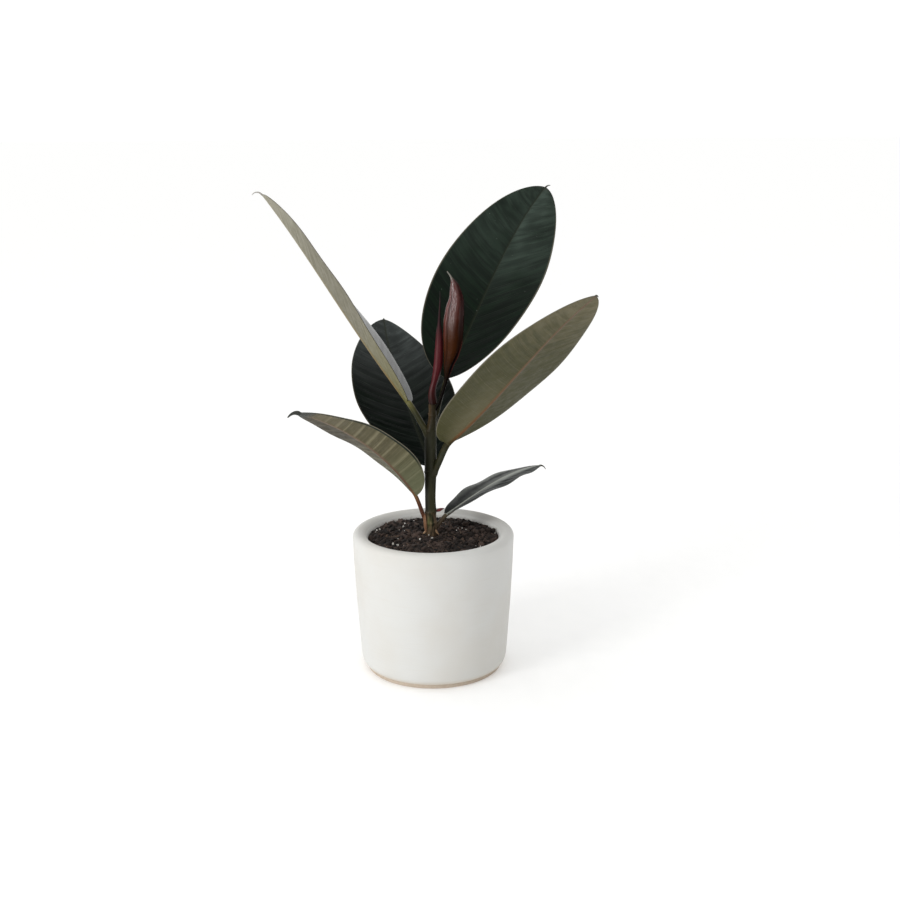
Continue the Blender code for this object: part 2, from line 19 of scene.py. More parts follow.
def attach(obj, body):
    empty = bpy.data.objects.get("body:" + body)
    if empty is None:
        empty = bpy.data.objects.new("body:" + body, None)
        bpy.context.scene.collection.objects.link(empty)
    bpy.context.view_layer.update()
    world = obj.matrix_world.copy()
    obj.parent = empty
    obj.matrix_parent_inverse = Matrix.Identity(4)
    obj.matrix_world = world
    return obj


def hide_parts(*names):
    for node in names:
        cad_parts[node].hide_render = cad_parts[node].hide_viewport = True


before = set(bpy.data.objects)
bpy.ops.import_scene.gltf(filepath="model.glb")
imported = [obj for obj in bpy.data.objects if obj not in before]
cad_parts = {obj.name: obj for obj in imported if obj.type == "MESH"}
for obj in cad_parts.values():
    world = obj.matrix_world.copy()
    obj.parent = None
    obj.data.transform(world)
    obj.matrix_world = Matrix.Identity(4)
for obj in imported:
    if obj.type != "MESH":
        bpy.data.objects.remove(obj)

MM = 0.001
LOG = logging.getLogger("rubber_plant")
Colour = tuple[float, ...]
Pair = tuple[float, float]
Three = tuple[float, float, float]
Four = tuple[float, float, float, float]
Grid = np.ndarray
Socket = bpy.types.NodeSocket
Material = bpy.types.Material
Mesh = bpy.types.Mesh
Piece = bpy.types.Object
Value = float | Colour | Socket
Crumb = tuple[Grid, Grid, Grid]

CHART_TOP = 255
CURVE_FOOT = 0.04045
FOOT_SLOPE = 12.92
CURVE_SHIFT = 0.055
CURVE_POWER = 2.4
WHITE: Colour = (1.0, 1.0, 1.0, 1.0)
SEAM: Pair = (0.3, 0.7)  # where a leaf's right half takes over from its left one
NOISE_RANGE: Pair = (0.3, 0.7)  # most of a soft noise lies in it
NOISE_FALL = 0.9
NOISE_RATIO = 2.0


class Arithmetic(Enum):
    """The sums that a finish does on the numbers of a coat."""

    ADD = "ADD"
    SUBTRACT = "SUBTRACT"
    TIMES = "MULTIPLY"
    GREATER = "GREATER_THAN"
    MOST = "MAXIMUM"
    ZIGZAG = "PINGPONG"


class LeafFace(IntEnum):
    """Material slots of a leaf."""

    UPPER = 0
    UNDER = 1
    STALK = 2


class PotFace(IntEnum):
    """Material slots of the pot."""

    GLAZE = 0
    BARE_CLAY = 1


def paint(red: int, green: int, blue: int) -> Colour:
    """Converts a paint chart's colour.

    Args:
        red: Its red, from 0 to 255.
        green: Its green.
        blue: Its blue.

    Returns:
        The colour for a shader.
    """
    shares = np.array([red, green, blue]) / CHART_TOP
    curved = ((shares + CURVE_SHIFT) / (1 + CURVE_SHIFT)) ** CURVE_POWER
    linear = np.where(shares <= CURVE_FOOT, shares / FOOT_SLOPE, curved)
    return (*(float(part) for part in linear), 1.0)


def ease(value: Grid | float, low: float, high: float) -> Grid:
    """Returns 0 below low, 1 above high, and an even curve in between."""
    share = np.clip((np.asarray(value, dtype=float) - low) / (high - low), 0, 1)
    return share * share * (3 - 2 * share)


def bell(away: Grid, width: float) -> Grid:
    """Returns 1 at no distance, and a bell curve of a width round it."""
    return np.exp(-((away / width) ** 2))


def window(value: Grid, rise: Pair, fall: Pair) -> Grid:
    """Returns 1 between a rise and a fall, and 0 beyond them."""
    return ease(value, *rise) * (1 - ease(value, *fall))


@dataclass(frozen=True)
class Ramp:
    """An even curve from start, where a value is below low, to end, where it is above high."""

    low: float
    high: float
    start: Value = 0.0
    end: Value = 1.0


@dataclass(frozen=True)
class Cloud:
    """Soft noise round 0.5: its lumps in a metre, its finer layers, and its stretch along each axis."""

    per_metre: float
    detail: float = 3.0
    stretch: Three = (1.0, 1.0, 1.0)


class Wiring:
    """A tree of shader nodes, wired up step by step."""

    def __init__(self, tree: bpy.types.NodeTree, coordinates: str) -> None:
        """Starts on a tree, with the name of the coordinates that it reads."""
        self.tree = tree
        self.spot = self.node("ShaderNodeTexCoord", {}).outputs[coordinates]

    def node(self, kind: str, inputs: dict[str | int, Value], **settings: object) -> bpy.types.Node:
        """Adds a node.

        Args:
            kind: Blender's name for the node's type.
            inputs: Values or other nodes' sockets, by input name or number.
            settings: The node's own options.

        Returns:
            The node.
        """
        made = self.tree.nodes.new(kind)
        for option, value in settings.items():
            setattr(made, option, value)
        for key, value in inputs.items():
            if isinstance(value, Socket):
                self.tree.links.new(value, made.inputs[key])
            else:
                made.inputs[key].default_value = value
        return made

    def axis(self, name: str) -> Socket:
        """Returns one of the three coordinates: X, Y or Z."""
        return self.node("ShaderNodeSeparateXYZ", {0: self.spot}).outputs[name]

    def fade(self, value: Value, ramp: Ramp) -> Socket:
        """Leads a value through a ramp.

        Args:
            value: What goes in.
            ramp: The ramp.

        Returns:
            What comes out.
        """
        inputs = {"Value": value, "From Min": ramp.low, "From Max": ramp.high}
        inputs |= {"To Min": ramp.start, "To Max": ramp.end}
        return self.node("ShaderNodeMapRange", inputs, interpolation_type="SMOOTHSTEP").outputs[0]


class Coat(Wiring):
    """The nodes of one finish."""

    def __init__(self, name: str, **constants: Value) -> None:
        """Starts a finish.

        Args:
            name: Name of the material.
            constants: Shader sockets that are the same all over, such as Roughness, by their names with
                spaces written as underscores.
        """
        self.material = bpy.data.materials.new(name)
        self.material.use_nodes = True
        super().__init__(self.material.node_tree, "Object")
        self.shader = self.tree.nodes["Principled BSDF"]
        for socket, value in constants.items():
            self.shader.inputs[socket.replace("_", " ")].default_value = value

    def read(self, name: str, ramp: Ramp | None = None) -> Socket:
        """Returns a number that the mesh holds at each of its points, or what a ramp makes of it."""
        number = self.node("ShaderNodeAttribute", {}, attribute_name=name).outputs["Fac"]
        return self.fade(number, ramp) if ramp else number

    def reach(self) -> Socket:
        """Returns the distance from the pot's axis."""
        inputs = {0: self.stretched((1.0, 1.0, 0.0))}
        return self.node("ShaderNodeVectorMath", inputs, operation="LENGTH").outputs["Value"]

    def sum(self, kind: Arithmetic, first: Value, second: Value) -> Socket:
        """Returns the result of a sum of two values."""
        return self.node("ShaderNodeMath", {0: first, 1: second}, operation=kind.value).outputs[0]

    def times(self, first: Value, *others: Value) -> Socket:
        """Multiplies values.

        Args:
            first: One of them.
            others: The rest.

        Returns:
            The product.
        """
        for other in others:
            first = self.sum(Arithmetic.TIMES, first, other)
        return first

    def sided(self, left: float, right: float) -> Socket:
        """Returns one value on the left half of a leaf and another on its right half."""
        return self.fade(self.read("side"), Ramp(*SEAM, left, right))

    def stretched(self, stretch: Three) -> Socket:
        """Returns the surface's coordinates, multiplied by a number along each axis."""
        inputs = {0: self.spot, 1: stretch}
        return self.node("ShaderNodeVectorMath", inputs, operation="MULTIPLY").outputs[0]

    def cloud(self, cloud: Cloud) -> Socket:
        """Returns a soft noise."""
        inputs = {"Vector": self.stretched(cloud.stretch), "Scale": cloud.per_metre, "Detail": cloud.detail}
        return self.node("ShaderNodeTexNoise", inputs).outputs[0]

    def clouded(self, cloud: Cloud, ramp: Ramp) -> Socket:
        """Returns what a ramp makes of a soft noise."""
        return self.fade(self.cloud(cloud), ramp)

    def rough(self, cloud: Socket, ends: Pair) -> Socket:
        """Returns a number that goes from one end to the other as a soft noise rises."""
        return self.fade(cloud, Ramp(*NOISE_RANGE, *ends))

    def line(self, phase: Value, width: float) -> Socket:
        """Returns 1 on the lines where a phase is a whole number, and 0 beyond a width on either side."""
        return self.fade(self.sum(Arithmetic.ZIGZAG, phase, 0.5), Ramp(0.0, width, 1.0, 0.0))

    def mix(self, share: Value, first: Value, second: Value) -> Socket:
        """Returns a colour that goes from the first to the second as share goes from 0 to 1."""
        return self.node("ShaderNodeMix", {0: share, 6: first, 7: second}, data_type="RGBA").outputs[2]

    def relief(self, height: Value, depth: float, under: Socket | None = None) -> Socket:
        """Returns the normals of a fine relief.

        Args:
            height: Its height, from 0 to 1.
            depth: The depth in metres that 1 stands for.
            under: Normals of a coarser relief that it lies on.

        Returns:
            The normals.
        """
        inputs = {"Height": height, "Distance": depth, "Strength": 1.0}
        if under is not None:
            inputs["Normal"] = under
        return self.node("ShaderNodeBump", inputs).outputs[0]

    def wire(self, **sockets: Value) -> Material:
        """Connects values to the shader.

        Args:
            sockets: The values, by their sockets' names, with spaces written as underscores.

        Returns:
            The material.
        """
        for socket, value in sockets.items():
            self.tree.links.new(value, self.shader.inputs[socket.replace("_", " ")])
        return self.material


@dataclass(frozen=True)
class GlazeFinish:
    """Matt off-white glaze with faint turning marks, painted light that makes the inside a little paler,
    and darker patches inside just above the potting mix.
    """

    name: str = "matt_white_glaze"
    specular: float = 0.35
    colour: Colour = paint(211, 211, 208)
    warm: Colour = paint(202, 196, 185)
    foot: Colour = paint(204, 195, 182)
    inner: Colour = paint(222, 222, 218)
    darker_near_mix: Colour = paint(128, 114, 102)
    patches: Cloud = Cloud(14)
    patch_ramp: Ramp = Ramp(0.35, 0.7)
    patch_share: float = 0.35
    turning: Cloud = Cloud(900, 2, (0.03, 0.03, 1.0))
    turning_ramp: Ramp = Ramp(0.55, 0.8, 0.0, 0.18)
    turning_depth: float = 0.05 * MM
    foot_ramp: Ramp = Ramp(4 * MM, 10 * MM, 0.8, 0.0)
    inside_ramp: Ramp = Ramp(62 * MM, 63 * MM, 1.0, 0.0)
    soil_ramp: Ramp = Ramp(125 * MM, 127.6 * MM, 1.0, 0.0)
    dark_patches: Cloud = Cloud(260, 5)
    dark_patch_ramp: Ramp = Ramp(0.42, 0.66, 0.0, 0.3)
    wear: Cloud = Cloud(120, 4)
    roughness: Pair = (0.52, 0.66)
    grain: Cloud = Cloud(1500, 2)
    grain_depth: float = 0.03 * MM

    def material(self) -> Material:
        """Mixes the finish.

        Returns:
            The material.
        """
        coat = Coat(self.name, Specular_IOR_Level=self.specular)
        patches = coat.times(coat.clouded(self.patches, self.patch_ramp), self.patch_share)
        lines = coat.cloud(self.turning)
        height = coat.axis("Z")
        colour = coat.mix(patches, self.colour, self.warm)
        colour = coat.mix(coat.fade(lines, self.turning_ramp), colour, self.warm)
        colour = coat.mix(coat.fade(height, self.foot_ramp), colour, self.foot)
        inside = coat.fade(coat.reach(), self.inside_ramp)
        # painted light: the inside of the pot a little paler
        colour = coat.mix(inside, colour, self.inner)
        dark_patches = coat.clouded(self.dark_patches, self.dark_patch_ramp)
        # darker patches inside, just above the potting mix
        darker_near_mix = coat.times(inside, coat.fade(height, self.soil_ramp), dark_patches)
        colour = coat.mix(darker_near_mix, colour, self.darker_near_mix)
        rough = coat.rough(coat.cloud(self.wear), self.roughness)
        turned = coat.relief(lines, self.turning_depth)
        grain = coat.relief(coat.cloud(self.grain), self.grain_depth, turned)
        return coat.wire(Base_Color=colour, Roughness=rough, Normal=grain)


@dataclass(frozen=True)
class ClayFinish:
    """Bare fired clay, as on the pot's foot."""

    name: str = "bare_clay"
    specular: float = 0.25
    colour: Colour = paint(203, 189, 173)
    dark: Colour = paint(172, 156, 138)
    grain: Cloud = Cloud(1400, 4)
    grain_ramp: Ramp = Ramp(0.4, 0.7)
    roughness: Pair = (0.8, 0.95)
    grain_depth: float = 0.12 * MM

    def material(self) -> Material:
        """Mixes the finish.

        Returns:
            The material.
        """
        coat = Coat(self.name, Specular_IOR_Level=self.specular)
        grain = coat.cloud(self.grain)
        colour = coat.mix(coat.fade(grain, self.grain_ramp), self.colour, self.dark)
        rough = coat.rough(grain, self.roughness)
        relief = coat.relief(grain, self.grain_depth)
        return coat.wire(Base_Color=colour, Roughness=rough, Normal=relief)


@dataclass(frozen=True)
class CrumbFinish:
    """Crumbs of peat, bark or perlite. Each crumb has a shade of its own."""

    name: str
    dark: Colour
    light: Colour
    grain: Cloud = Cloud(1800, 4)
    pits: float = 0.25 * MM
    specular: float = 0.3
    own_shade: float = 0.75
    grain_shade: float = 0.35
    shade_ramp: Ramp = Ramp(0.1, 0.95)
    patches: Cloud = Cloud(60, 2)
    patch_ramp: Ramp = Ramp(0.36, 0.62, 0.5, 1.15)
    roughness: Pair = (0.72, 0.95)

    def material(self) -> Material:
        """Mixes the finish.

        Returns:
            The material.
        """
        coat = Coat(self.name, Specular_IOR_Level=self.specular)
        grain = coat.cloud(self.grain)
        own = coat.times(coat.read("shade"), self.own_shade)
        shade = coat.sum(Arithmetic.ADD, own, coat.times(grain, self.grain_shade))
        patches = coat.clouded(self.patches, self.patch_ramp)
        colour = coat.mix(coat.times(coat.fade(shade, self.shade_ramp), patches), self.dark, self.light)
        rough = coat.rough(grain, self.roughness)
        return coat.wire(Base_Color=colour, Roughness=rough, Normal=coat.relief(grain, self.pits))


@dataclass(frozen=True)
class StemFinish:
    """Young bark: dark olive, browner above and corky at the soil. Painted shade darkens the plant's left
    side lower down, and painted light makes the brown strongest on its left higher up.
    """

    name: str = "young_bark"
    specular: float = 0.2
    olive: Colour = paint(51, 51, 28)
    dark: Colour = paint(22, 22, 13)
    brown: Colour = paint(66, 49, 25)
    corky: Colour = paint(104, 86, 66)
    green: Colour = paint(104, 104, 62)
    grain: Cloud = Cloud(500, 5, (1.0, 1.0, 0.22))
    grain_depth: float = 0.25 * MM
    streaks: Cloud = Cloud(160, 4, (1.0, 1.0, 0.12))
    streak_ramp: Ramp = Ramp(0.35, 0.7)
    darker_above: Ramp = Ramp(175 * MM, 215 * MM, 0.0, 0.45)
    painted_left_shade: Ramp = Ramp(200 * MM, 235 * MM, 0.75, 0.1)
    painted_lit_side: Ramp = Ramp(0.15, 0.8, 0.3, 0.95)
    browner_above: Ramp = Ramp(216 * MM, 246 * MM)
    corky_below: Ramp = Ramp(141 * MM, 153 * MM, 0.92, 0.0)
    cork_ramp: Ramp = Ramp(0.4, 0.65)
    roughness: Pair = (0.42, 0.68)

    def material(self) -> Material:
        """Mixes the finish.

        Returns:
            The material.
        """
        coat = Coat(self.name, Specular_IOR_Level=self.specular)
        height, left = coat.axis("Z"), coat.read("left")
        grain = coat.cloud(self.grain)
        colour = coat.mix(coat.clouded(self.streaks, self.streak_ramp), self.olive, self.dark)
        colour = coat.mix(coat.fade(height, self.darker_above), colour, self.dark)
        # painted shade on the plant's left side lower down
        colour = coat.mix(coat.times(left, coat.fade(height, self.painted_left_shade)), colour, self.dark)
        # painted light: the brown strongest on the lit left side higher up
        brown = coat.times(coat.fade(left, self.painted_lit_side), coat.fade(height, self.browner_above))
        colour = coat.mix(brown, colour, self.brown)
        bark = coat.mix(coat.fade(grain, self.cork_ramp), self.corky, self.dark)
        bark = coat.mix(coat.read("green"), bark, self.green)
        colour = coat.mix(coat.fade(height, self.corky_below), colour, bark)
        rough = coat.rough(grain, self.roughness)
        relief = coat.relief(grain, self.grain_depth)
        return coat.wire(Base_Color=colour, Roughness=rough, Normal=relief)


@dataclass(frozen=True)
class VeinPattern:
    """The side veins of a leaf and the wrinkles along them. A vein's phase is a whole number."""

    inside: Ramp = Ramp(0.93, 0.985, 1.0, 0.0)
    fainter: Cloud = Cloud(90, 2)
    fainter_ramp: Ramp = Ramp(0.3, 0.62, 0.25, 1.0)
    main_width: float = 0.055
    fine_to_a_vein: float = 4.0
    fine_width: float = 0.20
    wrinkles_outward: float = 1.6
    wrinkles_apart: float = 9.0
    wrinkle_detail: float = 1.5
    edge_ramp: Ramp = Ramp(0.965, 0.992)

    def lines(self, coat: Coat, fine_share: float) -> Socket:
        """Draws the side veins.

        Args:
            coat: The nodes of the finish.
            fine_share: Strength of the fine ones, as a share of the main ones'.

        Returns:
            Their mask.
        """
        phase = coat.read("phase")
        inside = coat.read("across", self.inside)
        uneven = coat.clouded(self.fainter, self.fainter_ramp)
        main = coat.times(coat.line(phase, self.main_width), inside, uneven)
        fine = coat.line(coat.times(phase, self.fine_to_a_vein), self.fine_width)
        return coat.sum(Arithmetic.MOST, main, coat.times(fine, inside, uneven, fine_share))

    def wrinkles(self, coat: Coat, to_a_vein: float) -> Socket:
        """Draws soft noise out along the side veins.

        Args:
            coat: The nodes of the finish.
            to_a_vein: Number of streaks from one vein to the next.

        Returns:
            The noise.
        """
        streak = coat.times(coat.read("phase"), to_a_vein)
        outward = coat.times(coat.read("across"), self.wrinkles_outward)
        apart = coat.times(coat.read("side"), self.wrinkles_apart)
        place = coat.node("ShaderNodeCombineXYZ", {0: streak, 1: outward, 2: apart}).outputs[0]
        inputs = {"Vector": place, "Scale": 1.0, "Detail": self.wrinkle_detail}
        return coat.node("ShaderNodeTexNoise", inputs).outputs[0]

    def edge(self, coat: Coat) -> Socket:
        """Returns the mask of the thin pale margin."""
        return coat.read("across", self.edge_ramp)


@dataclass(frozen=True)
class PaintedSheen:
    """Painted sheen on a leaf's upper face: a paler colour laid on in place of reflected light, with a
    strength for its left and its right half.
    """

    colour: Colour = paint(60, 70, 64)
    left: float = 0.15
    right: float = 0.15
    start: float = 0.3
    growth: float = 0.45
    lost: float = 0.0
    lost_across: Pair = (0.3, 0.9)
    wrinkled: Ramp = Ramp(0.32, 0.68, 0.55, 1.0)
    patches: Cloud = Cloud(22, 2)
    patch_ramp: Ramp = Ramp(0.34, 0.6, 0.4, 1.0)

    def over(self, coat: Coat, colour: Value, wrinkles: Socket) -> Socket:
        """Lays the painted sheen on a colour.

        Args:
            coat: The nodes of the finish.
            colour: The colour under it.
            wrinkles: The leaf's wrinkles, which break it up.

        Returns:
            The new colour.
        """
        share = coat.read("side", Ramp(0.0, 1.0, self.left, self.right))
        grown = coat.read("along", Ramp(self.start, self.start + self.growth))
        lost = coat.read("across", Ramp(*self.lost_across, 0.0, self.lost))
        kept = coat.sum(Arithmetic.SUBTRACT, 1.0, coat.times(lost, coat.sided(0.0, 1.0)))
        wrinkled = coat.fade(wrinkles, self.wrinkled)
        patches = coat.clouded(self.patches, self.patch_ramp)
        return coat.mix(coat.times(share, grown, kept, wrinkled, patches), colour, self.colour)


@dataclass(frozen=True)
class PaintedRimGlow:
    """Painted light on a leaf's upper face, towards its left margin and beside its midrib."""

    rim: float
    rib: float
    rim_across: Pair = (0.45, 1.0)
    rib_across: Pair = (0.06, 0.55)
    on_right: float = 0.12
    rib_on_left: float = 0.4
    patches: Cloud = Cloud(70)
    patched: Pair = (0.6, 1.0)
    rise: Ramp = Ramp(0.05, 0.7, 0.03, 1.5)

    def over(self, coat: Coat, colour: Value, light: Colour) -> Socket:
        """Lays the painted light on a colour.

        Args:
            coat: The nodes of the finish.
            colour: The colour under it.
            light: The colour of the painted light.

        Returns:
            The new colour.
        """
        across = coat.read("across")
        on_left = coat.sided(1.0, self.on_right)
        rim = coat.times(coat.fade(across, Ramp(*self.rim_across, 0.0, self.rim)), on_left)
        rib = coat.fade(across, Ramp(*self.rib_across, self.rib, 0.0))
        rib = coat.times(rib, coat.fade(on_left, Ramp(self.on_right, 1.0, 1.0, self.rib_on_left)))
        glow = coat.sum(Arithmetic.MOST, rim, rib)
        patches = coat.rough(coat.cloud(self.patches), self.patched)
        glow = coat.times(glow, patches, coat.read("along", self.rise))
        return coat.mix(glow, colour, light)


@dataclass(frozen=True)
class Dust:
    """Specks of dust that lie in patches. Bare is the share of the places that hold no speck."""

    bare: float = 0.62
    colour: Colour = paint(132, 138, 130)
    per_metre: float = 210.0
    radius: float = 0.085
    core: float = 0.6
    patches: Cloud = Cloud(25, 2)
    patch_ramp: Ramp = Ramp(0.45, 0.6)
    cover: float = 0.5
    dullness: float = 0.3

    def mask(self, coat: Coat) -> Socket:
        """Scatters the specks.

        Args:
            coat: The nodes of the finish.

        Returns:
            A mask that is 1 on them.
        """
        cells = coat.node("ShaderNodeTexVoronoi", {"Vector": coat.spot, "Scale": self.per_metre})
        picked = coat.node("ShaderNodeSeparateColor", {0: cells.outputs["Color"]}).outputs[0]
        chosen = coat.sum(Arithmetic.GREATER, picked, self.bare)
        speck = coat.fade(cells.outputs["Distance"], Ramp(self.radius * self.core, self.radius, 1.0, 0.0))
        return coat.times(speck, chosen, coat.clouded(self.patches, self.patch_ramp))


@dataclass(frozen=True)
class LeafFinish:
    """Leathery leaf: dark glossy upper face, paler matt underside, and a coloured midrib and stalk."""

    name: str
    upper: Colour = paint(10, 17, 11)
    upper_light: Colour = paint(18, 28, 20)
    upper_vein: Colour = paint(46, 58, 46)
    upper_rib: Colour = paint(34, 38, 26)
    under: Colour = paint(74, 71, 47)
    under_dark: Colour = paint(64, 61, 39)
    under_base: Colour = paint(74, 72, 46)
    under_tip: Colour = paint(110, 103, 82)
    under_vein: Colour = paint(104, 99, 74)
    painted_shade_colour: Colour = paint(30, 22, 14)
    rib_base: Colour = paint(106, 74, 46)
    rib_tip: Colour = paint(112, 84, 66)
    # the thin pale margin's own colour, which the painted rim light also uses
    margin: Colour = paint(120, 114, 98)
    stalk_base: Colour = paint(44, 46, 20)
    stalk_end: Colour = paint(66, 62, 30)
    painted_stalk_shade_colour: Colour = paint(14, 14, 9)
    collar: Colour = paint(44, 42, 24)
    tip: Colour = paint(70, 68, 60)
    tip_from: float = 0.97
    tip_reach: float = 0.08
    pattern: VeinPattern = VeinPattern()
    painted_sheen: PaintedSheen = PaintedSheen()
    glow: PaintedRimGlow | None = None
    dust: Dust = Dust()

    upper_wrinkles: float = 2.2
    upper_tones: Ramp = Ramp(0.38, 0.66)
    upper_fine: float = 0.35
    vein_show: float = 0.16
    rib_show: float = 0.7
    edge_show: float = 0.5
    vein_depth: float = 0.16 * MM
    creases: float = 0.06 * MM
    pores: Cloud = Cloud(420)
    skin: float = 0.06 * MM
    worn: Cloud = Cloud(70, 4)
    roughness: Pair = (0.30, 0.42)
    gloss: float = 0.12
    base_gloss: float = 0.7
    gloss_along: Pair = (0.05, 0.5)

    under_specular: float = 0.2
    under_wrinkles: float = 3.0
    under_tones: Ramp = Ramp(0.34, 0.68)
    under_fine: float = 0.45
    under_vein_show: float = 0.4
    under_edge_show: float = 0.8
    under_relief: float = 0.15 * MM
    under_worn: Cloud = Cloud(150, 4)
    under_roughness: Pair = (0.5, 0.65)
    banding: float = 0.2
    band: Pair = (0.06, 0.36)
    tip_tone: Ramp = Ramp(0.5, 1.0, 0.0, 0.85)
    tone_along: Ramp = Ramp(0.6, 1.0, 1.0, 0.4)
    base_tone: Ramp = Ramp(0.0, 0.42, 0.8, 0.0)
    painted_right_shade: float = 0.0
    painted_shade_along: Ramp = Ramp(0.35, 0.65, 0.25, 1.0)
    painted_shade_depth: float = 0.65
    painted_right_light: float = 0.0
    painted_light_across: Ramp = Ramp(0.15, 0.75, 1.0, 0.2)
    painted_light_along: Ramp = Ramp(0.15, 0.6, 1.0, 0.0)
    rib_along: Ramp = Ramp(0.0, 0.8)
    rib_foot: Ramp = Ramp(0.0, 0.10, 1.0, 0.0)
    curled: float = 0.0
    curl_edge: float = 0.03
    curl_along: Ramp = Ramp(0.1, 0.25)

    stalk_specular: float = 0.25
    stalk_streaks: Cloud = Cloud(260, 4)
    stalk_relief: float = 0.12 * MM
    stalk_along: Ramp = Ramp(-0.4, 0.0)
    streak_ramp: Ramp = Ramp(0.45, 0.75, 0.0, 0.15)
    painted_stalk_shade: float = 0.4
    painted_stalk_shaded_side: Pair = (0.35, 0.8)
    painted_stalk_shade_depth: float = 0.6
    collar_along: Ramp = Ramp(-0.95, -0.65, 0.9, 0.0)
    stalk_roughness: Pair = (0.4, 0.55)

    def ended(self, coat: Coat, colour: Value) -> Socket:
        """Returns a colour that turns into the tip's."""
        tip_ramp = Ramp(self.tip_from, self.tip_from + self.tip_reach)
        return coat.mix(coat.read("along", tip_ramp), colour, self.tip)

    def upper_face(self) -> Material:
        """Mixes the dark upper face.

        Returns:
            The material.
        """
        coat = Coat(f"{self.name}_upper")
        lines = self.pattern.lines(coat, self.upper_fine)
        wrinkles = self.pattern.wrinkles(coat, self.upper_wrinkles)
        colour = coat.mix(coat.fade(wrinkles, self.upper_tones), self.upper, self.upper_light)
        # painted reflection: a paler colour in place of the upper face's reflected light
        colour = self.painted_sheen.over(coat, colour, wrinkles)
        # painted light towards the margin and the midrib, in the pale margin's colour
        if self.glow:
            colour = self.glow.over(coat, colour, self.margin)
        colour = coat.mix(coat.times(lines, self.vein_show), colour, self.upper_vein)
        colour = coat.mix(coat.times(coat.read("rib"), self.rib_show), colour, self.upper_rib)
        colour = coat.mix(coat.times(self.pattern.edge(coat), self.edge_show), colour, self.margin)
        specks = self.dust.mask(coat)
        colour = coat.mix(coat.times(specks, self.dust.cover), colour, self.dust.colour)
        rough = coat.rough(coat.cloud(self.worn), self.roughness)
        rough = coat.sum(Arithmetic.ADD, rough, coat.times(specks, self.dust.dullness))
        creased = coat.relief(wrinkles, self.creases, coat.relief(lines, -self.vein_depth))
        skin = coat.relief(coat.cloud(self.pores), self.skin, creased)
        gloss_ramp = Ramp(*self.gloss_along, self.gloss * self.base_gloss, self.gloss)
        gloss = coat.read("along", gloss_ramp)
        colour = self.ended(coat, colour)
        return coat.wire(Base_Color=colour, Roughness=rough, Specular_IOR_Level=gloss, Normal=skin)

    def under_face(self) -> Material:
        """Mixes the paler underside, with the raised midrib.

        Returns:
            The material.
        """
        coat = Coat(f"{self.name}_under", Specular_IOR_Level=self.under_specular)
        lines = self.pattern.lines(coat, self.under_fine)
        along, across = coat.read("along"), coat.read("across")
        bands = coat.fade(coat.sum(Arithmetic.ZIGZAG, coat.read("phase"), 0.5), Ramp(*self.band))
        soft = coat.fade(self.pattern.wrinkles(coat, self.under_wrinkles), self.under_tones)
        soft = coat.times(soft, 1 - self.banding)
        tone = coat.sum(Arithmetic.ADD, soft, coat.times(bands, self.banding))
        colour = coat.mix(coat.fade(along, self.tip_tone), self.under, self.under_tip)
        colour = coat.mix(coat.times(tone, coat.fade(along, self.tone_along)), colour, self.under_dark)
        colour = coat.mix(coat.fade(along, self.base_tone), colour, self.under_base)
        # painted shade: the right half of the underside darker towards the tip
        if self.painted_right_shade:
            shade = coat.times(coat.sided(0.0, self.painted_right_shade), coat.fade(along, self.painted_shade_along))
            colour = coat.mix(shade, colour, coat.mix(self.painted_shade_depth, colour, self.painted_shade_colour))
        # painted light: the right half of the underside paler beside the midrib near the base
        if self.painted_right_light:
            glow = coat.times(coat.sided(0.0, self.painted_right_light), coat.fade(across, self.painted_light_across))
            glow = coat.times(glow, coat.fade(along, self.painted_light_along))
            colour = coat.mix(glow, colour, self.under_vein)
        colour = coat.mix(coat.times(lines, self.under_vein_show), colour, self.under_vein)
        rib = coat.mix(coat.fade(along, self.rib_along), self.rib_base, self.rib_tip)
        rib = coat.mix(coat.fade(along, self.rib_foot), rib, self.stalk_end)
        colour = coat.mix(coat.read("rib"), colour, rib)
        if self.curled:
            strip = coat.fade(across, Ramp(self.curled, self.curled + self.curl_edge))
            strip = coat.times(strip, coat.fade(along, self.curl_along), coat.sided(1.0, 0.0))
            colour = coat.mix(strip, colour, self.upper_light)
        colour = coat.mix(coat.times(self.pattern.edge(coat), self.under_edge_show), colour, self.margin)
        rough = coat.rough(coat.cloud(self.under_worn), self.under_roughness)
        skin = coat.relief(tone, self.under_relief, coat.relief(lines, self.vein_depth))
        return coat.wire(Base_Color=self.ended(coat, colour), Roughness=rough, Normal=skin)

    def stalk(self) -> Material:
        """Mixes the leaf stalk, with painted shade along one side.

        Returns:
            The material.
        """
        coat = Coat(f"{self.name}_stalk", Specular_IOR_Level=self.stalk_specular)
        streaks = coat.cloud(self.stalk_streaks)
        along = coat.read("along")
        colour = coat.mix(coat.fade(along, self.stalk_along), self.stalk_base, self.stalk_end)
        colour = coat.mix(coat.fade(streaks, self.streak_ramp), colour, self.rib_base)
        # painted shade along one side of the stalk
        shade = coat.read("side", Ramp(*self.painted_stalk_shaded_side, 0.0, self.painted_stalk_shade))
        colour = coat.mix(shade, colour, coat.mix(self.painted_stalk_shade_depth, colour, self.painted_stalk_shade_colour))
        colour = coat.mix(coat.fade(along, self.collar_along), colour, self.collar)
        rough = coat.rough(streaks, self.stalk_roughness)
        relief = coat.relief(streaks, self.stalk_relief)
        return coat.wire(Base_Color=colour, Roughness=rough, Normal=relief)


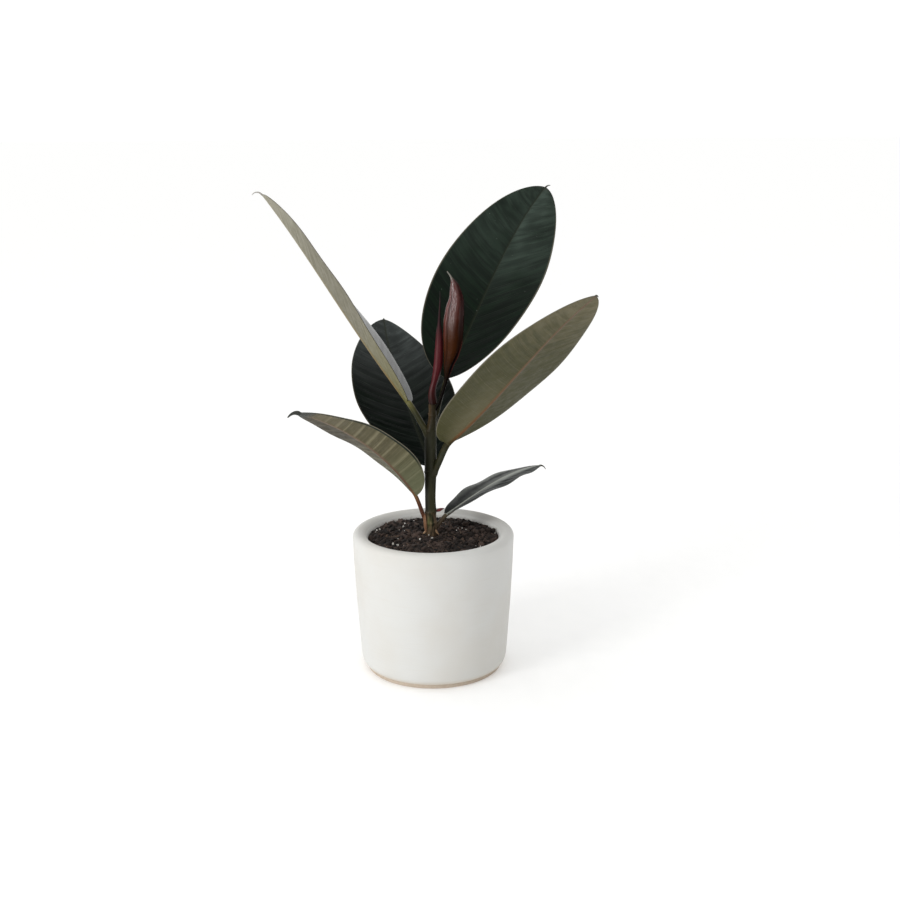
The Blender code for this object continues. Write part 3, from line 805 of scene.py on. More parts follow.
@dataclass(frozen=True)
class GrowthFinish:
    """Finish of a young part, such as the red sheath, with a colour at its base, middle and tip."""

    name: str
    base: Colour
    middle: Colour
    tip: Colour
    inside: Colour = paint(18, 9, 16)
    lip: Colour = paint(118, 66, 60)
    thread: Colour = paint(70, 56, 54)
    thread_ramp: Ramp = Ramp(0.93, 0.98)
    roughness: Pair = (0.3, 0.42)
    base_until: float = 0.0
    bends: Pair = (0.35, 0.75)
    specular: Pair = (0.3, 0.3)
    dull_ramp: Ramp = Ramp(0.0, 1.0, 1.0, 0.15)
    painted_shade_share: float = 0.65
    patches: Cloud = Cloud(120, 4, (1.0, 1.0, 0.4))
    patch_ramp: Ramp = Ramp(0.45, 0.75, 0.0, 0.5)
    patch_depth: float = 0.5
    fibre: Cloud = Cloud(900, 4, (1.0, 1.0, 0.08))
    fibres: float = 0.12 * MM
    bump: Cloud = Cloud(700)
    bumps: float = 0.03 * MM

    def material(self) -> Material:
        """Mixes the finish.

        Returns:
            The material.
        """
        coat = Coat(self.name)
        along, dull_and_shaded = coat.read("along"), coat.read("dull_and_shaded")
        patches = coat.cloud(self.patches)
        colour = coat.mix(coat.fade(along, Ramp(self.base_until, self.bends[0])), self.base, self.middle)
        colour = coat.mix(coat.fade(along, Ramp(*self.bends)), colour, self.tip)
        darker = coat.mix(self.patch_depth, colour, self.inside)
        colour = coat.mix(coat.fade(patches, self.patch_ramp), colour, darker)
        # painted shade: the rolled leaf's right side darkened towards the inside colour
        colour = coat.mix(coat.times(dull_and_shaded, self.painted_shade_share), colour, self.inside)
        colour = coat.mix(coat.read("lip"), colour, self.lip)
        # the slit's inner face, partly own colour and partly painted shade, and painted shade in the groove
        colour = coat.mix(coat.read("inside"), colour, self.inside)
        colour = coat.mix(coat.fade(along, self.thread_ramp), colour, self.thread)
        rough = coat.rough(patches, self.roughness)
        shine = coat.fade(along, Ramp(*self.bends, *self.specular))
        shine = coat.times(shine, coat.fade(dull_and_shaded, self.dull_ramp))
        fibres = coat.relief(coat.cloud(self.fibre), self.fibres)
        bumps = coat.relief(coat.cloud(self.bump), self.bumps, fibres)
        return coat.wire(Base_Color=colour, Roughness=rough, Specular_IOR_Level=shine, Normal=bumps)


@dataclass(frozen=True)
class FloorFinish:
    """Plain white studio floor, lit a little from below so that it stays even."""

    name: str = "studio_floor"
    colour: Colour = paint(244, 244, 243)
    worn: Colour = paint(241, 241, 240)
    glow: float = 0.16
    roughness: float = 0.9
    grain: Cloud = Cloud(60)
    grain_ramp: Ramp = Ramp(0.35, 0.7)
    grain_depth: float = 0.05 * MM

    def material(self) -> Material:
        """Mixes the finish.

        Returns:
            The material.
        """
        constants = {"Roughness": self.roughness, "Specular_IOR_Level": 0.0}
        coat = Coat(self.name, Emission_Strength=self.glow, Emission_Color=WHITE, **constants)
        grain = coat.cloud(self.grain)
        colour = coat.mix(coat.fade(grain, self.grain_ramp), self.colour, self.worn)
        return coat.wire(Base_Color=colour, Normal=coat.relief(grain, self.grain_depth))


def smooth_path(points: tuple[tuple[float, ...], ...], spans: int) -> Grid:
    """Draws a curve through rows of numbers.

    Args:
        points: The rows.
        spans: Number of straight spans between two rows.

    Returns:
        The curve's rows.
    """
    rows = np.array(points, dtype=float)
    padded = np.vstack([2 * rows[0] - rows[1], rows, 2 * rows[-1] - rows[-2]])
    curve = []
    for a, b, c, d in zip(padded, padded[1:], padded[2:], padded[3:]):
        for t in np.arange(spans) / spans:
            bend = (2 * a - 5 * b + 4 * c - d) * t**2 + (3 * b - a - 3 * c + d) * t**3
            curve.append(b + 0.5 * ((c - a) * t + bend))
    curve.append(rows[-1])
    return np.array(curve)


def arc(centre: Pair, radii: Pair, angles: Pair, count: int) -> list[Pair]:
    """Returns points along an ellipse of two radii, between two angles in degrees."""
    turns = np.radians(np.linspace(*angles, count))
    return [(centre[0] + radii[0] * math.cos(t), centre[1] + radii[1] * math.sin(t)) for t in turns]


def full_turn(count: int) -> Grid:
    """Returns evenly spaced angles round a full turn."""
    return np.linspace(0, math.tau, count, endpoint=False)


def ringed(radii: Grid, turns: Grid, heights: Grid, right: Grid | float = 0.0) -> Grid:
    """Returns the points of level rings, whose middles may lie to the right of the pot's axis."""
    axes = np.broadcast_arrays(right + radii * np.cos(turns), radii * np.sin(turns), heights)
    return np.stack(axes, axis=-1)


def unit(rows: Grid) -> Grid:
    """Returns each row at a length of 1."""
    return rows / np.linalg.norm(rows, axis=1)[:, None]


def fractal(points: Grid, layers: int) -> Grid:
    """Works out rough noise.

    Args:
        points: A grid of points.
        layers: Number of its layers.

    Returns:
        The noise at each point.
    """
    return np.array([
        [noise.fractal(Vector(point), NOISE_FALL, NOISE_RATIO, layers) for point in row] for row in points
    ])


def hold(mesh: Mesh, name: str, numbers: Grid) -> None:
    """Stores a number for each point of a mesh, for its finish to read."""
    held = mesh.attributes.new(name, "FLOAT", "POINT")
    held.data.foreach_set("value", numbers.astype(np.float32))


def added(name: str, data: bpy.types.ID) -> Piece:
    """Adds an object to the scene.

    Args:
        name: Name of the object.
        data: Its mesh, lamp or camera.

    Returns:
        The object.
    """
    made = bpy.data.objects.new(name, data)
    bpy.context.scene.collection.objects.link(made)
    return made


def placed(
    name: str, mesh: Mesh, materials: list[Material], slot: str, *stands_for: str
) -> None:
    """Puts a finished piece on the plant's one body.

    Args:
        name: Name of the piece.
        mesh: Its mesh, in metres at its place.
        materials: Its materials, in the order of its faces' slots.
        slot: Not used.
        stands_for: The CAD nodes that it replaces.
    """
    mesh.shade_smooth()
    for material in materials:
        mesh.materials.append(material)
    piece = added(name, mesh)
    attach(piece, "root")
    if stands_for:
        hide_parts(*stands_for)
    LOG.info("%s: %d faces", name, len(mesh.polygons))


def skinned(
    name: str, rings: Grid, values: dict[str, Grid], faces_of: Grid | None = None
) -> Mesh:
    """Makes a closed mesh through rings of equally many points, with a fan of faces on each end.

    Args:
        name: Name of the mesh.
        rings: Points, by ring, place in the ring and axis.
        values: Numbers for the finish, by name, each by ring and place in the ring.
        faces_of: Material slot of each strip's faces, by ring and place.

    Returns:
        The mesh.
    """
    count, sides = rings.shape[:2]
    points = np.vstack([rings.reshape(-1, 3), rings[0].mean(0), rings[-1].mean(0)])
    start = np.arange(count - 1)[:, None] * sides
    here, after = np.arange(sides), (np.arange(sides) + 1) % sides
    strips = [start + here, start + after, start + sides + after, start + sides + here]
    quads = np.stack(strips, axis=-1).reshape(-1, 4)
    near_end, far_end = count * sides, count * sides + 1
    last = (count - 1) * sides
    fans = [(near_end, int(b), int(a)) for a, b in zip(here, after)]
    fans += [(far_end, int(a), int(b)) for a, b in zip(here + last, after + last)]
    mesh = bpy.data.meshes.new(name)
    mesh.from_pydata(points.tolist(), [], quads.tolist() + fans)
    for key, grid in values.items():
        hold(mesh, key, np.concatenate([grid.reshape(-1), [grid[0].mean(), grid[-1].mean()]]))
    if faces_of is not None:
        ends = np.repeat([faces_of[0, 0], faces_of[-1, 0]], sides)
        slots = np.concatenate([faces_of.reshape(-1), ends])
        mesh.polygons.foreach_set("material_index", slots.astype(np.int32))
    turned = bmesh.new()
    turned.from_mesh(mesh)
    bmesh.ops.recalc_face_normals(turned, faces=turned.faces)
    turned.to_mesh(mesh)
    turned.free()
    return mesh


def tube_rings(line: Grid, radii: Grid, sides: int) -> Grid:
    """Makes round rings along a line.

    Args:
        line: The line's points.
        radii: A radius for each point.
        sides: Number of points in a ring.

    Returns:
        The rings.
    """
    upright = 0.8  # a line that starts steeper than this has its rings turned from +Y instead of +Z
    ahead = unit(np.gradient(line, axis=0))
    steady = np.array([0.0, 0.0, 1.0]) if abs(ahead[0, 2]) < upright else np.array([0.0, 1.0, 0.0])
    side = unit(np.cross(steady, ahead))
    across = np.cross(ahead, side)
    turns = full_turn(sides)
    offsets = side[:, None] * np.cos(turns)[None, :, None] + across[:, None] * np.sin(turns)[None, :, None]
    return line[:, None] + offsets * radii[:, None, None]


@dataclass(frozen=True)
class CeramicPot:
    """Thick-walled pot with a rounded rim and a bare foot."""

    height: float = 131 * MM
    rim_radius: float = 74.7 * MM
    waist_radius: float = 72 * MM
    waist_height: float = 66 * MM
    heel_radius: float = 68.4 * MM
    heel_height: float = 15 * MM
    inner_radius: float = 60.7 * MM
    inner_foot_radius: float = 56 * MM
    floor: float = 13 * MM
    floor_rings: tuple[int, ...] = (10, 5, 1)  # in fillets from the inner wall
    inner_fillet: float = 4 * MM
    fillet_corner: float = 0.3
    outer_round: float = 5.5 * MM
    inner_round_height: float = 8 * MM
    foot_radius: float = 63 * MM
    foot_height: float = 4.3 * MM
    foot_step: float = 0.8 * MM
    foot_edge: float = 0.3 * MM
    foot_chamfer: float = 0.6 * MM
    foot_rings: Pair = (0.7, 0.2)
    steps: int = 180
    wall_points: int = 16
    side_points: int = 34
    inner_round_points: int = 18
    outer_round_points: int = 16
    heel_points: int = 12
    hand_wobble: float = 0.12 * MM
    wobble_waves: Pair = (9 * MM, 23 * MM)
    glaze: GlazeFinish = GlazeFinish()
    clay: ClayFinish = ClayFinish()

    def inner_wall(self, height: float) -> float:
        """Returns the inner radius at a height."""
        share = (height - self.floor) / (self.height - self.inner_round_height - self.floor)
        return self.inner_foot_radius + (self.inner_radius - self.inner_foot_radius) * share

    def inner_profile(self) -> list[Pair]:
        """Draws the pot's section from the middle of its floor to the rim's crest.

        Returns:
            Rows of radius and height.
        """
        crest = self.rim_radius - self.outer_round
        round_base = self.height - self.inner_round_height
        corner = self.fillet_corner * self.inner_fillet
        foot = self.inner_foot_radius
        points = [(foot - self.inner_fillet * share, self.floor) for share in self.floor_rings]
        points += [(foot - corner, self.floor + corner)]
        rise = np.linspace(self.floor + self.inner_fillet, round_base, self.wall_points)
        points += [(self.inner_wall(float(height)), float(height)) for height in rise]
        radii = (crest - self.inner_radius, self.inner_round_height)
        return points + arc((crest, round_base), radii, (180, 90), self.inner_round_points)[1:]

    def outer_profile(self) -> list[Pair]:
        """Draws the pot's section from the rim's crest to the top of the bare foot.

        Returns:
            Rows of radius and height.
        """
        rim_base = self.height - self.outer_round
        centre, radii = (self.rim_radius - self.outer_round, rim_base), (self.outer_round, self.outer_round)
        points = arc(centre, radii, (90, 0), self.outer_round_points)[1:]
        heights = (self.heel_height, self.waist_height, rim_base)
        side = np.polyfit(heights, (self.heel_radius, self.waist_radius, self.rim_radius), 2)
        fall = np.linspace(rim_base, self.heel_height, self.side_points)[1:-1]
        points += [(float(np.polyval(side, height)), float(height)) for height in fall]
        heel = self.foot_radius + self.foot_step
        radii = (self.heel_radius - heel, self.heel_height - self.foot_height)
        return points + arc((heel, self.heel_height), radii, (0, -90), self.heel_points)

    def foot_profile(self) -> list[Pair]:
        """Draws the pot's section from the top of the bare foot to the middle of its underside.

        Returns:
            Rows of radius and height.
        """
        radius, top, edge, chamfer = self.foot_radius, self.foot_height, self.foot_edge, self.foot_chamfer
        points = [(radius + edge, top), (radius, top - edge), (radius, top / 2)]
        points += [(radius, chamfer), (radius - chamfer, 0.0)]
        return points + [(share * radius, 0.0) for share in self.foot_rings]

    def build(self) -> None:
        """Builds the pot."""
        glazed = self.inner_profile() + self.outer_profile()
        rows = [(*row, PotFace.GLAZE) for row in glazed]
        rows += [(*row, PotFace.BARE_CLAY) for row in self.foot_profile()]
        profile = np.array(rows, dtype=float)
        turns = full_turn(self.steps)
        radii, heights = profile[:, 0, None], profile[:, 1, None]
        short, long = self.wobble_waves
        wobble = np.sin(heights / short + 2 * turns) * np.sin(heights / long) - 1
        below_rim = heights < self.height - self.outer_round
        shown = (heights > self.heel_height) & below_rim & (radii > self.inner_radius)
        radii = radii + self.hand_wobble / 2 * wobble * shown
        rings = ringed(radii, turns, heights)
        slots = np.repeat(profile[1:, 2, None], self.steps, axis=1)
        mesh = skinned("glazed_pot", rings, {}, slots)
        placed("glazed_pot", mesh, [self.glaze.material(), self.clay.material()], "ceramic", "pot")


PEAT = CrumbFinish("peat", paint(11, 9, 8), paint(80, 66, 59))


@dataclass(frozen=True)
class CrumbKind:
    """One kind of loose crumb: how many, their radii, their shape, and any at places of their own."""

    name: str
    finish: CrumbFinish
    count: int
    sizes: Pair
    stretch: Three
    fineness: int = 2
    spots: tuple[Three, ...] = ()  # right, back and radius in millimetres
    spot_lift: float = 1.6 * MM
    smaller: float = 2.2
    waves: int = 4
    wave_size: float = 1.9
    wave_pull: float = 1.3
    wave_height: float = 0.2
    jitter: float = 0.12

    def build(self, crumbs: list[Crumb], draw: np.random.Generator) -> None:
        """Builds crumbs as one piece.

        Args:
            crumbs: Centres, lengths and rotations.
            draw: Source of seeded random numbers.
        """
        ball = bmesh.new()
        bmesh.ops.create_icosphere(ball, subdivisions=self.fineness, radius=1.0)
        shape = np.array([vertex.co for vertex in ball.verts])
        triangles = np.array([[vertex.index for vertex in face.verts] for face in ball.faces])
        ball.free()
        points, faces, shades = [], [], []
        for number, (centre, lengths, spin) in enumerate(crumbs):
            waves = draw.normal(0, self.wave_size, (self.waves, 3))
            starts = draw.uniform(0, math.tau, self.waves)
            bumps = 1 + self.wave_height * np.sin(self.wave_pull * shape @ waves.T + starts).sum(axis=1)
            bumps = bumps + draw.uniform(-self.jitter, self.jitter, len(shape))
            points.append((shape * bumps[:, None] * lengths) @ spin.T + centre)
            faces.append(triangles + number * len(shape))
            shades.append(np.full(len(shape), draw.random()))
        mesh = bpy.data.meshes.new(self.name)
        mesh.from_pydata(np.vstack(points).tolist(), [], np.vstack(faces).tolist())
        hold(mesh, "shade", np.concatenate(shades))
        placed(self.name, mesh, [self.finish.material()], "potting_mix")


@dataclass(frozen=True)
class PottingMix:
    """The potting mix: a lumpy bed, with loose crumbs, bark chips, perlite and root threads on it."""

    pot: CeramicPot
    level: float = 125.8 * MM
    edge_drop: float = 2 * MM
    relief: float = 1.9 * MM
    clods: int = 70
    clod_reach: Pair = (5 * MM, 10 * MM)
    clod_tops: Pair = (0.5, 1.0)
    hollow: float = 0.4
    seed: int = 11
    wall_fade: float = 6.5 * MM
    stem_fade: float = 12 * MM
    stem_share: float = 0.15
    stem_at: float = -1.9 * MM
    stem_radius: float = 5.9 * MM
    gap: float = 0.3 * MM
    rings: int = 64
    steps: int = 200
    side_rings: int = 12
    middle_ring: float = 0.2
    roughness: float = 0.9 * MM
    rough_per_metre: float = 260.0
    rough_layers: int = 4
    rough_level: float = 0.2
    calm_rim: float = 2 * MM
    shade_level: float = 0.25
    shade_spread: float = 0.5
    wall_room: float = 0.8
    stem_room: float = 0.6 * MM
    crumb_spread: Pair = (0.7, 1.2)
    crumb_tilt: float = 0.6
    crumb_lift: Pair = (-0.15, 0.45)
    kinds: tuple[CrumbKind, ...] = (
        CrumbKind("peat_lumps", PEAT, 190, (1.6 * MM, 3.4 * MM), (1.1, 1.0, 0.7), 3),
        CrumbKind("peat_crumbs", PEAT, 1500, (0.5 * MM, 1.7 * MM), (1.2, 1.0, 0.8)),
        CrumbKind(
            "bark_chips", CrumbFinish("bark_chips", paint(42, 31, 26), paint(104, 84, 70)),
            110, (0.7 * MM, 1.5 * MM), (2.4, 1.1, 0.5),
        ),
        CrumbKind(
            "perlite_grains",
            CrumbFinish("perlite", paint(176, 172, 164), paint(238, 236, 230), Cloud(2500, 4), 0.15 * MM),
            46, (0.45 * MM, 1.1 * MM), (1.0, 1.0, 0.9),
            spots=(
                (-35.3, -28.4, 1.3), (-31.6, -31.3, 1.1), (-17.3, 51.1, 0.7), (-3.9, -5.5, 0.7),
                (-11.9, -20.1, 0.7), (-47.8, 4.4, 0.8), (26.9, 18.3, 0.7), (30.6, 12.1, 0.8),
                (23.1, 15.3, 0.7), (-1.0, -14.5, 0.7), (-27.3, 31.9, 0.7), (-53.0, 10.6, 0.7),
                (-50.2, 13.6, 0.8),
            ),
        ),
    )
    threads: CrumbFinish = CrumbFinish("root_threads", paint(70, 56, 46), paint(116, 98, 82))
    thread_count: int = 16
    thread_points: int = 18
    thread_sides: int = 6
    thread_places: Pair = (9, 50)
    thread_step: float = 0.8 * MM
    thread_bend: float = 0.25
    thread_wander: float = 0.3
    thread_room: float = 1.5 * MM
    thread_lift: Pair = (0.5, 1.0)
    thread_radii: Pair = (0.26, 0.12)
    thread_shade: float = 0.6

    def edge(self) -> float:
        """Returns the radius of the bed's edge."""
        return self.pot.inner_wall(self.level - self.edge_drop) - self.gap

    def clod_list(self) -> Grid:
        """Draws the clods of the CAD bed.

        Returns:
            Rows of right, back, reach and height.
        """
        draw = random.Random(self.seed)
        rows = []
        for _ in range(self.clods):
            away, turn = self.edge() * math.sqrt(draw.random()), draw.uniform(0, math.tau)
            reach, top = draw.uniform(*self.clod_reach), draw.uniform(*self.clod_tops) * self.relief
            rows.append((away * math.cos(turn), away * math.sin(turn), reach, top))
        return np.array(rows)

    def surface(self, right: Grid, back: Grid, clods: Grid) -> Grid:
        """Returns the bed's height at places.

        Args:
            right: Their distance to the right of the pot's axis.
            back: Their distance behind it.
            clods: The clods.

        Returns:
            The heights.
        """
        away = np.hypot(right, back)
        gaps = np.hypot(right[..., None] - clods[:, 0], back[..., None] - clods[:, 1])
        lumps = np.max(clods[:, 3] * (1 - gaps**2 / clods[:, 2] ** 2), axis=-1)
        from_wall = (self.pot.inner_wall(self.level) - away) / self.wall_fade
        from_stem = (np.hypot(right - self.stem_at, back) - self.stem_radius) / self.stem_fade
        fade = np.minimum(1.0, np.minimum(from_wall, np.maximum(self.stem_share, from_stem)))
        lumps = np.maximum(lumps, -self.hollow * self.relief) * fade
        return self.level - self.edge_drop * np.clip(away / self.edge(), 0, 1) ** 4 + lumps

    def build_bed(self, clods: Grid) -> None:
        """Builds the bed that fills the pot.

        Args:
            clods: The bed's clods.
        """
        edge = self.edge()
        turns = full_turn(self.steps)
        radii = edge * np.linspace(0, 1, self.rings + 1)[1:, None] + 0 * turns
        level = ringed(radii, turns, 0.0)
        heights = self.surface(level[..., 0], level[..., 1], clods)
        rough = fractal(level * self.rough_per_metre, self.rough_layers)
        calm = np.clip((edge - radii) / self.calm_rim, 0, 1)
        heights = heights + self.roughness * (rough - self.rough_level) * calm
        top = ringed(radii, turns, heights)
        floor = self.pot.floor + self.gap
        fillet = self.pot.inner_fillet
        wall = np.linspace(self.level - self.edge_drop, floor + fillet, self.side_rings)[1:]
        below = [(self.pot.inner_wall(height) - self.gap, height) for height in wall]
        below += [(self.pot.inner_foot_radius - fillet - self.gap, floor), (self.middle_ring * edge, floor)]
        reach, depth = np.array(below).T[..., None]
        under = ringed(reach, turns, depth)
        shades = np.concatenate([rough, np.zeros((len(below), self.steps))])
        values = {"shade": np.clip(self.shade_level + self.shade_spread * shades, 0, 1)}
        mesh = skinned("potting_bed", np.concatenate([top, under]), values)
        placed("potting_bed", mesh, [PEAT.material()], "potting_mix", "soil")

    def scatter(self, kind: CrumbKind, draw: np.random.Generator, clods: Grid) -> list[Crumb]:
        """Picks places, sizes and turns for crumbs.

        Args:
            kind: Their kind.
            draw: Source of seeded random numbers.
            clods: The bed's clods.

        Returns:
            For each crumb its centre, its three lengths and its rotation.
        """
        made = []
        least, most = kind.sizes
        while len(made) < kind.count:
            size = least + (most - least) * draw.random() ** kind.smaller
            reach = self.pot.inner_wall(self.level) - self.gap - self.wall_room * size * max(kind.stretch)
            away = reach * math.sqrt(draw.random())
            turn = draw.uniform(0, math.tau)
            right, back = away * math.cos(turn), away * math.sin(turn)
            if math.hypot(right - self.stem_at, back) < self.stem_radius - self.stem_room + size:
                continue
            level = float(self.surface(np.array([right]), np.array([back]), clods)[0])
            lengths = size * np.array(kind.stretch) * draw.uniform(*self.crumb_spread, 3)
            tips = [draw.uniform(-self.crumb_tilt, self.crumb_tilt) for _ in range(2)]
            tilt = Matrix.Rotation(tips[0], 3, "X") @ Matrix.Rotation(tips[1], 3, "Y")
            spin = Matrix.Rotation(draw.uniform(0, math.tau), 3, "Z") @ tilt
            lift = draw.uniform(*self.crumb_lift) * min(lengths)
            made.append((np.array([right, back, level + lift]), lengths, np.array(spin)))
        for (right, back, radius), (_, lengths, spin) in zip(kind.spots, list(made)):
            place = np.array([right, back]) * MM
            level = float(self.surface(place[:1], place[1:], clods)[0])
            centre = np.array([*place, level + kind.spot_lift])
            made.append((centre, np.maximum(lengths, radius * MM), spin))
        return made

    def thread_line(self, draw: np.random.Generator, clods: Grid) -> Grid:
        """Leads one root thread over the bed.

        Args:
            draw: Source of seeded random numbers.
            clods: The bed's clods.

        Returns:
            Its points.
        """
        away, turn = draw.uniform(*self.thread_places) * MM, draw.uniform(0, math.tau)
        place = np.array([away * math.cos(turn), away * math.sin(turn)])
        heading, bend = draw.uniform(0, math.tau), draw.uniform(-self.thread_bend, self.thread_bend)
        reach = self.pot.inner_wall(self.level) - self.thread_room
        line = []
        for _ in range(self.thread_points):
            heading += bend + draw.uniform(-self.thread_wander, self.thread_wander)
            place = place + self.thread_step * np.array([math.cos(heading), math.sin(heading)])
            place = place * min(1.0, reach / float(np.hypot(*place)))
            level = float(self.surface(place[:1], place[1:], clods)[0])
            line.append((*place, level + draw.uniform(*self.thread_lift) * MM))
        return np.array(line)

    def build_threads(self, draw: np.random.Generator, clods: Grid) -> None:
        """Builds the fine root threads.

        Args:
            draw: Source of seeded random numbers.
            clods: The bed's clods.
        """
        joined = bmesh.new()
        radii = np.linspace(*self.thread_radii, self.thread_points) * MM
        for _ in range(self.thread_count):
            rings = tube_rings(self.thread_line(draw, clods), radii, self.thread_sides)
            part = skinned("thread", rings, {})
            joined.from_mesh(part)
            bpy.data.meshes.remove(part)
        mesh = bpy.data.meshes.new("root_threads")
        joined.to_mesh(mesh)
        joined.free()
        hold(mesh, "shade", np.full(len(mesh.vertices), self.thread_shade))
        placed("root_threads", mesh, [self.threads.material()], "potting_mix")

    def build(self) -> None:
        """Builds the bed and all that lies on it."""
        clods = self.clod_list()
        draw = np.random.default_rng(self.seed)
        self.build_bed(clods)
        for kind in self.kinds:
            kind.build(self.scatter(kind, draw, clods), draw)
        self.build_threads(draw, clods)


@dataclass(frozen=True)
class RootNub:
    """A short thick root just above the potting mix. Its two ends and its radius are in millimetres."""

    start: Three
    end: Three
    radius: float
    stations: int = 9
    sides: int = 14
    sag: float = 0.5 * MM
    taper: float = 0.55
    taper_power: float = 1.5
    shades: Pair = (0.3, 1.0)
    finish: CrumbFinish = CrumbFinish("root_nubs", paint(120, 92, 66), paint(170, 140, 110))

    def build(self, name: str) -> None:
        """Builds the nub.

        Args:
            name: Name of the piece.
        """
        start, end = np.array([self.start, self.end]) * MM
        share = np.linspace(0, 1, self.stations)
        line = start + (end - start) * share[:, None]
        line[:, 1] -= self.sag * np.sin(math.pi * share)
        radii = self.radius * MM * (1 - self.taper * share**self.taper_power)
        shade = np.repeat(np.interp(share, (0, 1), self.shades)[:, None], self.sides, axis=1)
        mesh = skinned(name, tube_rings(line, radii, self.sides), {"shade": shade})
        placed(name, mesh, [self.finish.material()], "stem")


@dataclass(frozen=True)
class YoungStem:
    """The stem: olive bark with a ring at each node, and two root nubs.

    Each point of its path is height, right and radius, in millimetres.
    """

    path: tuple[Three, ...] = (
        (84, -1.9, 3.4), (90, -1.9, 4.6), (108, -1.9, 5.1), (130, -1.9, 5.2), (150, -2.2, 5.0),
        (166, -2.4, 4.9), (184, -2.0, 5.4), (204, -1.8, 5.5), (222, -1.7, 5.4), (230, -0.6, 4.3),
        (237, 0.2, 3.7), (244, 0.5, 3.6), (250, 0.5, 3.7),
    )
    node_heights: tuple[float, ...] = (139 * MM, 149 * MM, 187 * MM, 225 * MM, 240 * MM)
    slant: float = 0.9 * MM
    slant_turn: float = 1.3
    swell: float = 0.45 * MM
    spread: float = 1.8 * MM
    scar: float = 0.22 * MM
    scar_width: float = 0.55 * MM
    groove_above: float = 1.3 * MM
    groove_width: float = 0.6 * MM
    ring_step: float = 0.7 * MM
    sides: int = 56
    spans: int = 6
    bark_depth: float = 0.22 * MM
    bark_around: float = 3.0
    bark_per_metre: float = 70.0
    bark_layers: int = 3
    bark_growth: Pair = (0.6, 0.8)  # its share high up, and what the corky foot adds to it
    corky_foot: Pair = (130 * MM, 150 * MM)
    left_turn: float = 0.15
    left_range: Pair = (-0.5, 0.95)
    green_turn: float = math.radians(250)
    green_width: float = 0.5
    green_height: float = 140 * MM
    green_spread: float = 5 * MM
    green_share: Pair = (0.75, 0.5)  # its own strength, and what the bark's noise adds to it
    nubs: tuple[RootNub, ...] = (
        RootNub((-4.6, -2, 132.3), (-9.3, -3.2, 127.9), 1.3),
        RootNub((1.4, -2, 132), (5.2, -3.4, 127.2), 1.2),
    )
    finish: StemFinish = StemFinish()

    def at(self, height: float | Grid) -> tuple[Grid, Grid]:
        """Returns the centre line's distance to the right, and the radius without the nodes' swelling."""
        heights, right, radii = smooth_path(self.path, self.spans).T * MM
        return np.interp(height, heights, right), np.interp(height, heights, radii)

    def centre(self, height: float) -> Grid:
        """Returns the centre line's point at a height."""
        return np.array([self.at(height)[0], 0.0, height])

    def build(self) -> None:
        """Builds the stem and its root nubs."""
        foot, top = self.path[0][0] * MM, self.path[-1][0] * MM
        heights = np.append(np.arange(foot, top, self.ring_step), top)[:, None]
        turns = full_turn(self.sides)
        right, radii = self.at(heights)
        grown = radii + 0 * turns
        for number, node in enumerate(self.node_heights):
            away = heights - node - self.slant * np.sin(turns + self.slant_turn * number)
            grown += self.swell * bell(away, self.spread)
            grown += self.scar * bell(away, self.scar_width)
            grown -= self.scar * bell(away - self.groove_above, self.groove_width)
        around = self.bark_around * np.stack([np.cos(turns), np.sin(turns)])[:, None] + 0 * heights
        upward = heights * self.bark_per_metre + 0 * turns
        rough = fractal(np.stack([*around, upward], axis=-1), self.bark_layers)
        share, more = self.bark_growth
        low, high = self.corky_foot
        grown += self.bark_depth * rough * (share + more * ease(-heights, -high, -low))
        rings = ringed(grown, turns, heights, right)
        # the plant's left side, where the finish paints shade and light
        left = ease(-np.cos(turns + self.left_turn), *self.left_range)[None] + 0 * grown
        own, added = self.green_share
        patch = bell(heights - self.green_height, self.green_spread)
        patch = patch * bell(turns - self.green_turn, self.green_width)
        values = {"left": left, "green": np.clip(patch * (own + added * rough), 0, 1)}
        mesh = skinned("barked_stem", rings, values)
        placed("barked_stem", mesh, [self.finish.material()], "stem", "stem")
        for number, nub in enumerate(self.nubs, 1):
            nub.build(f"root_nub_{number}")


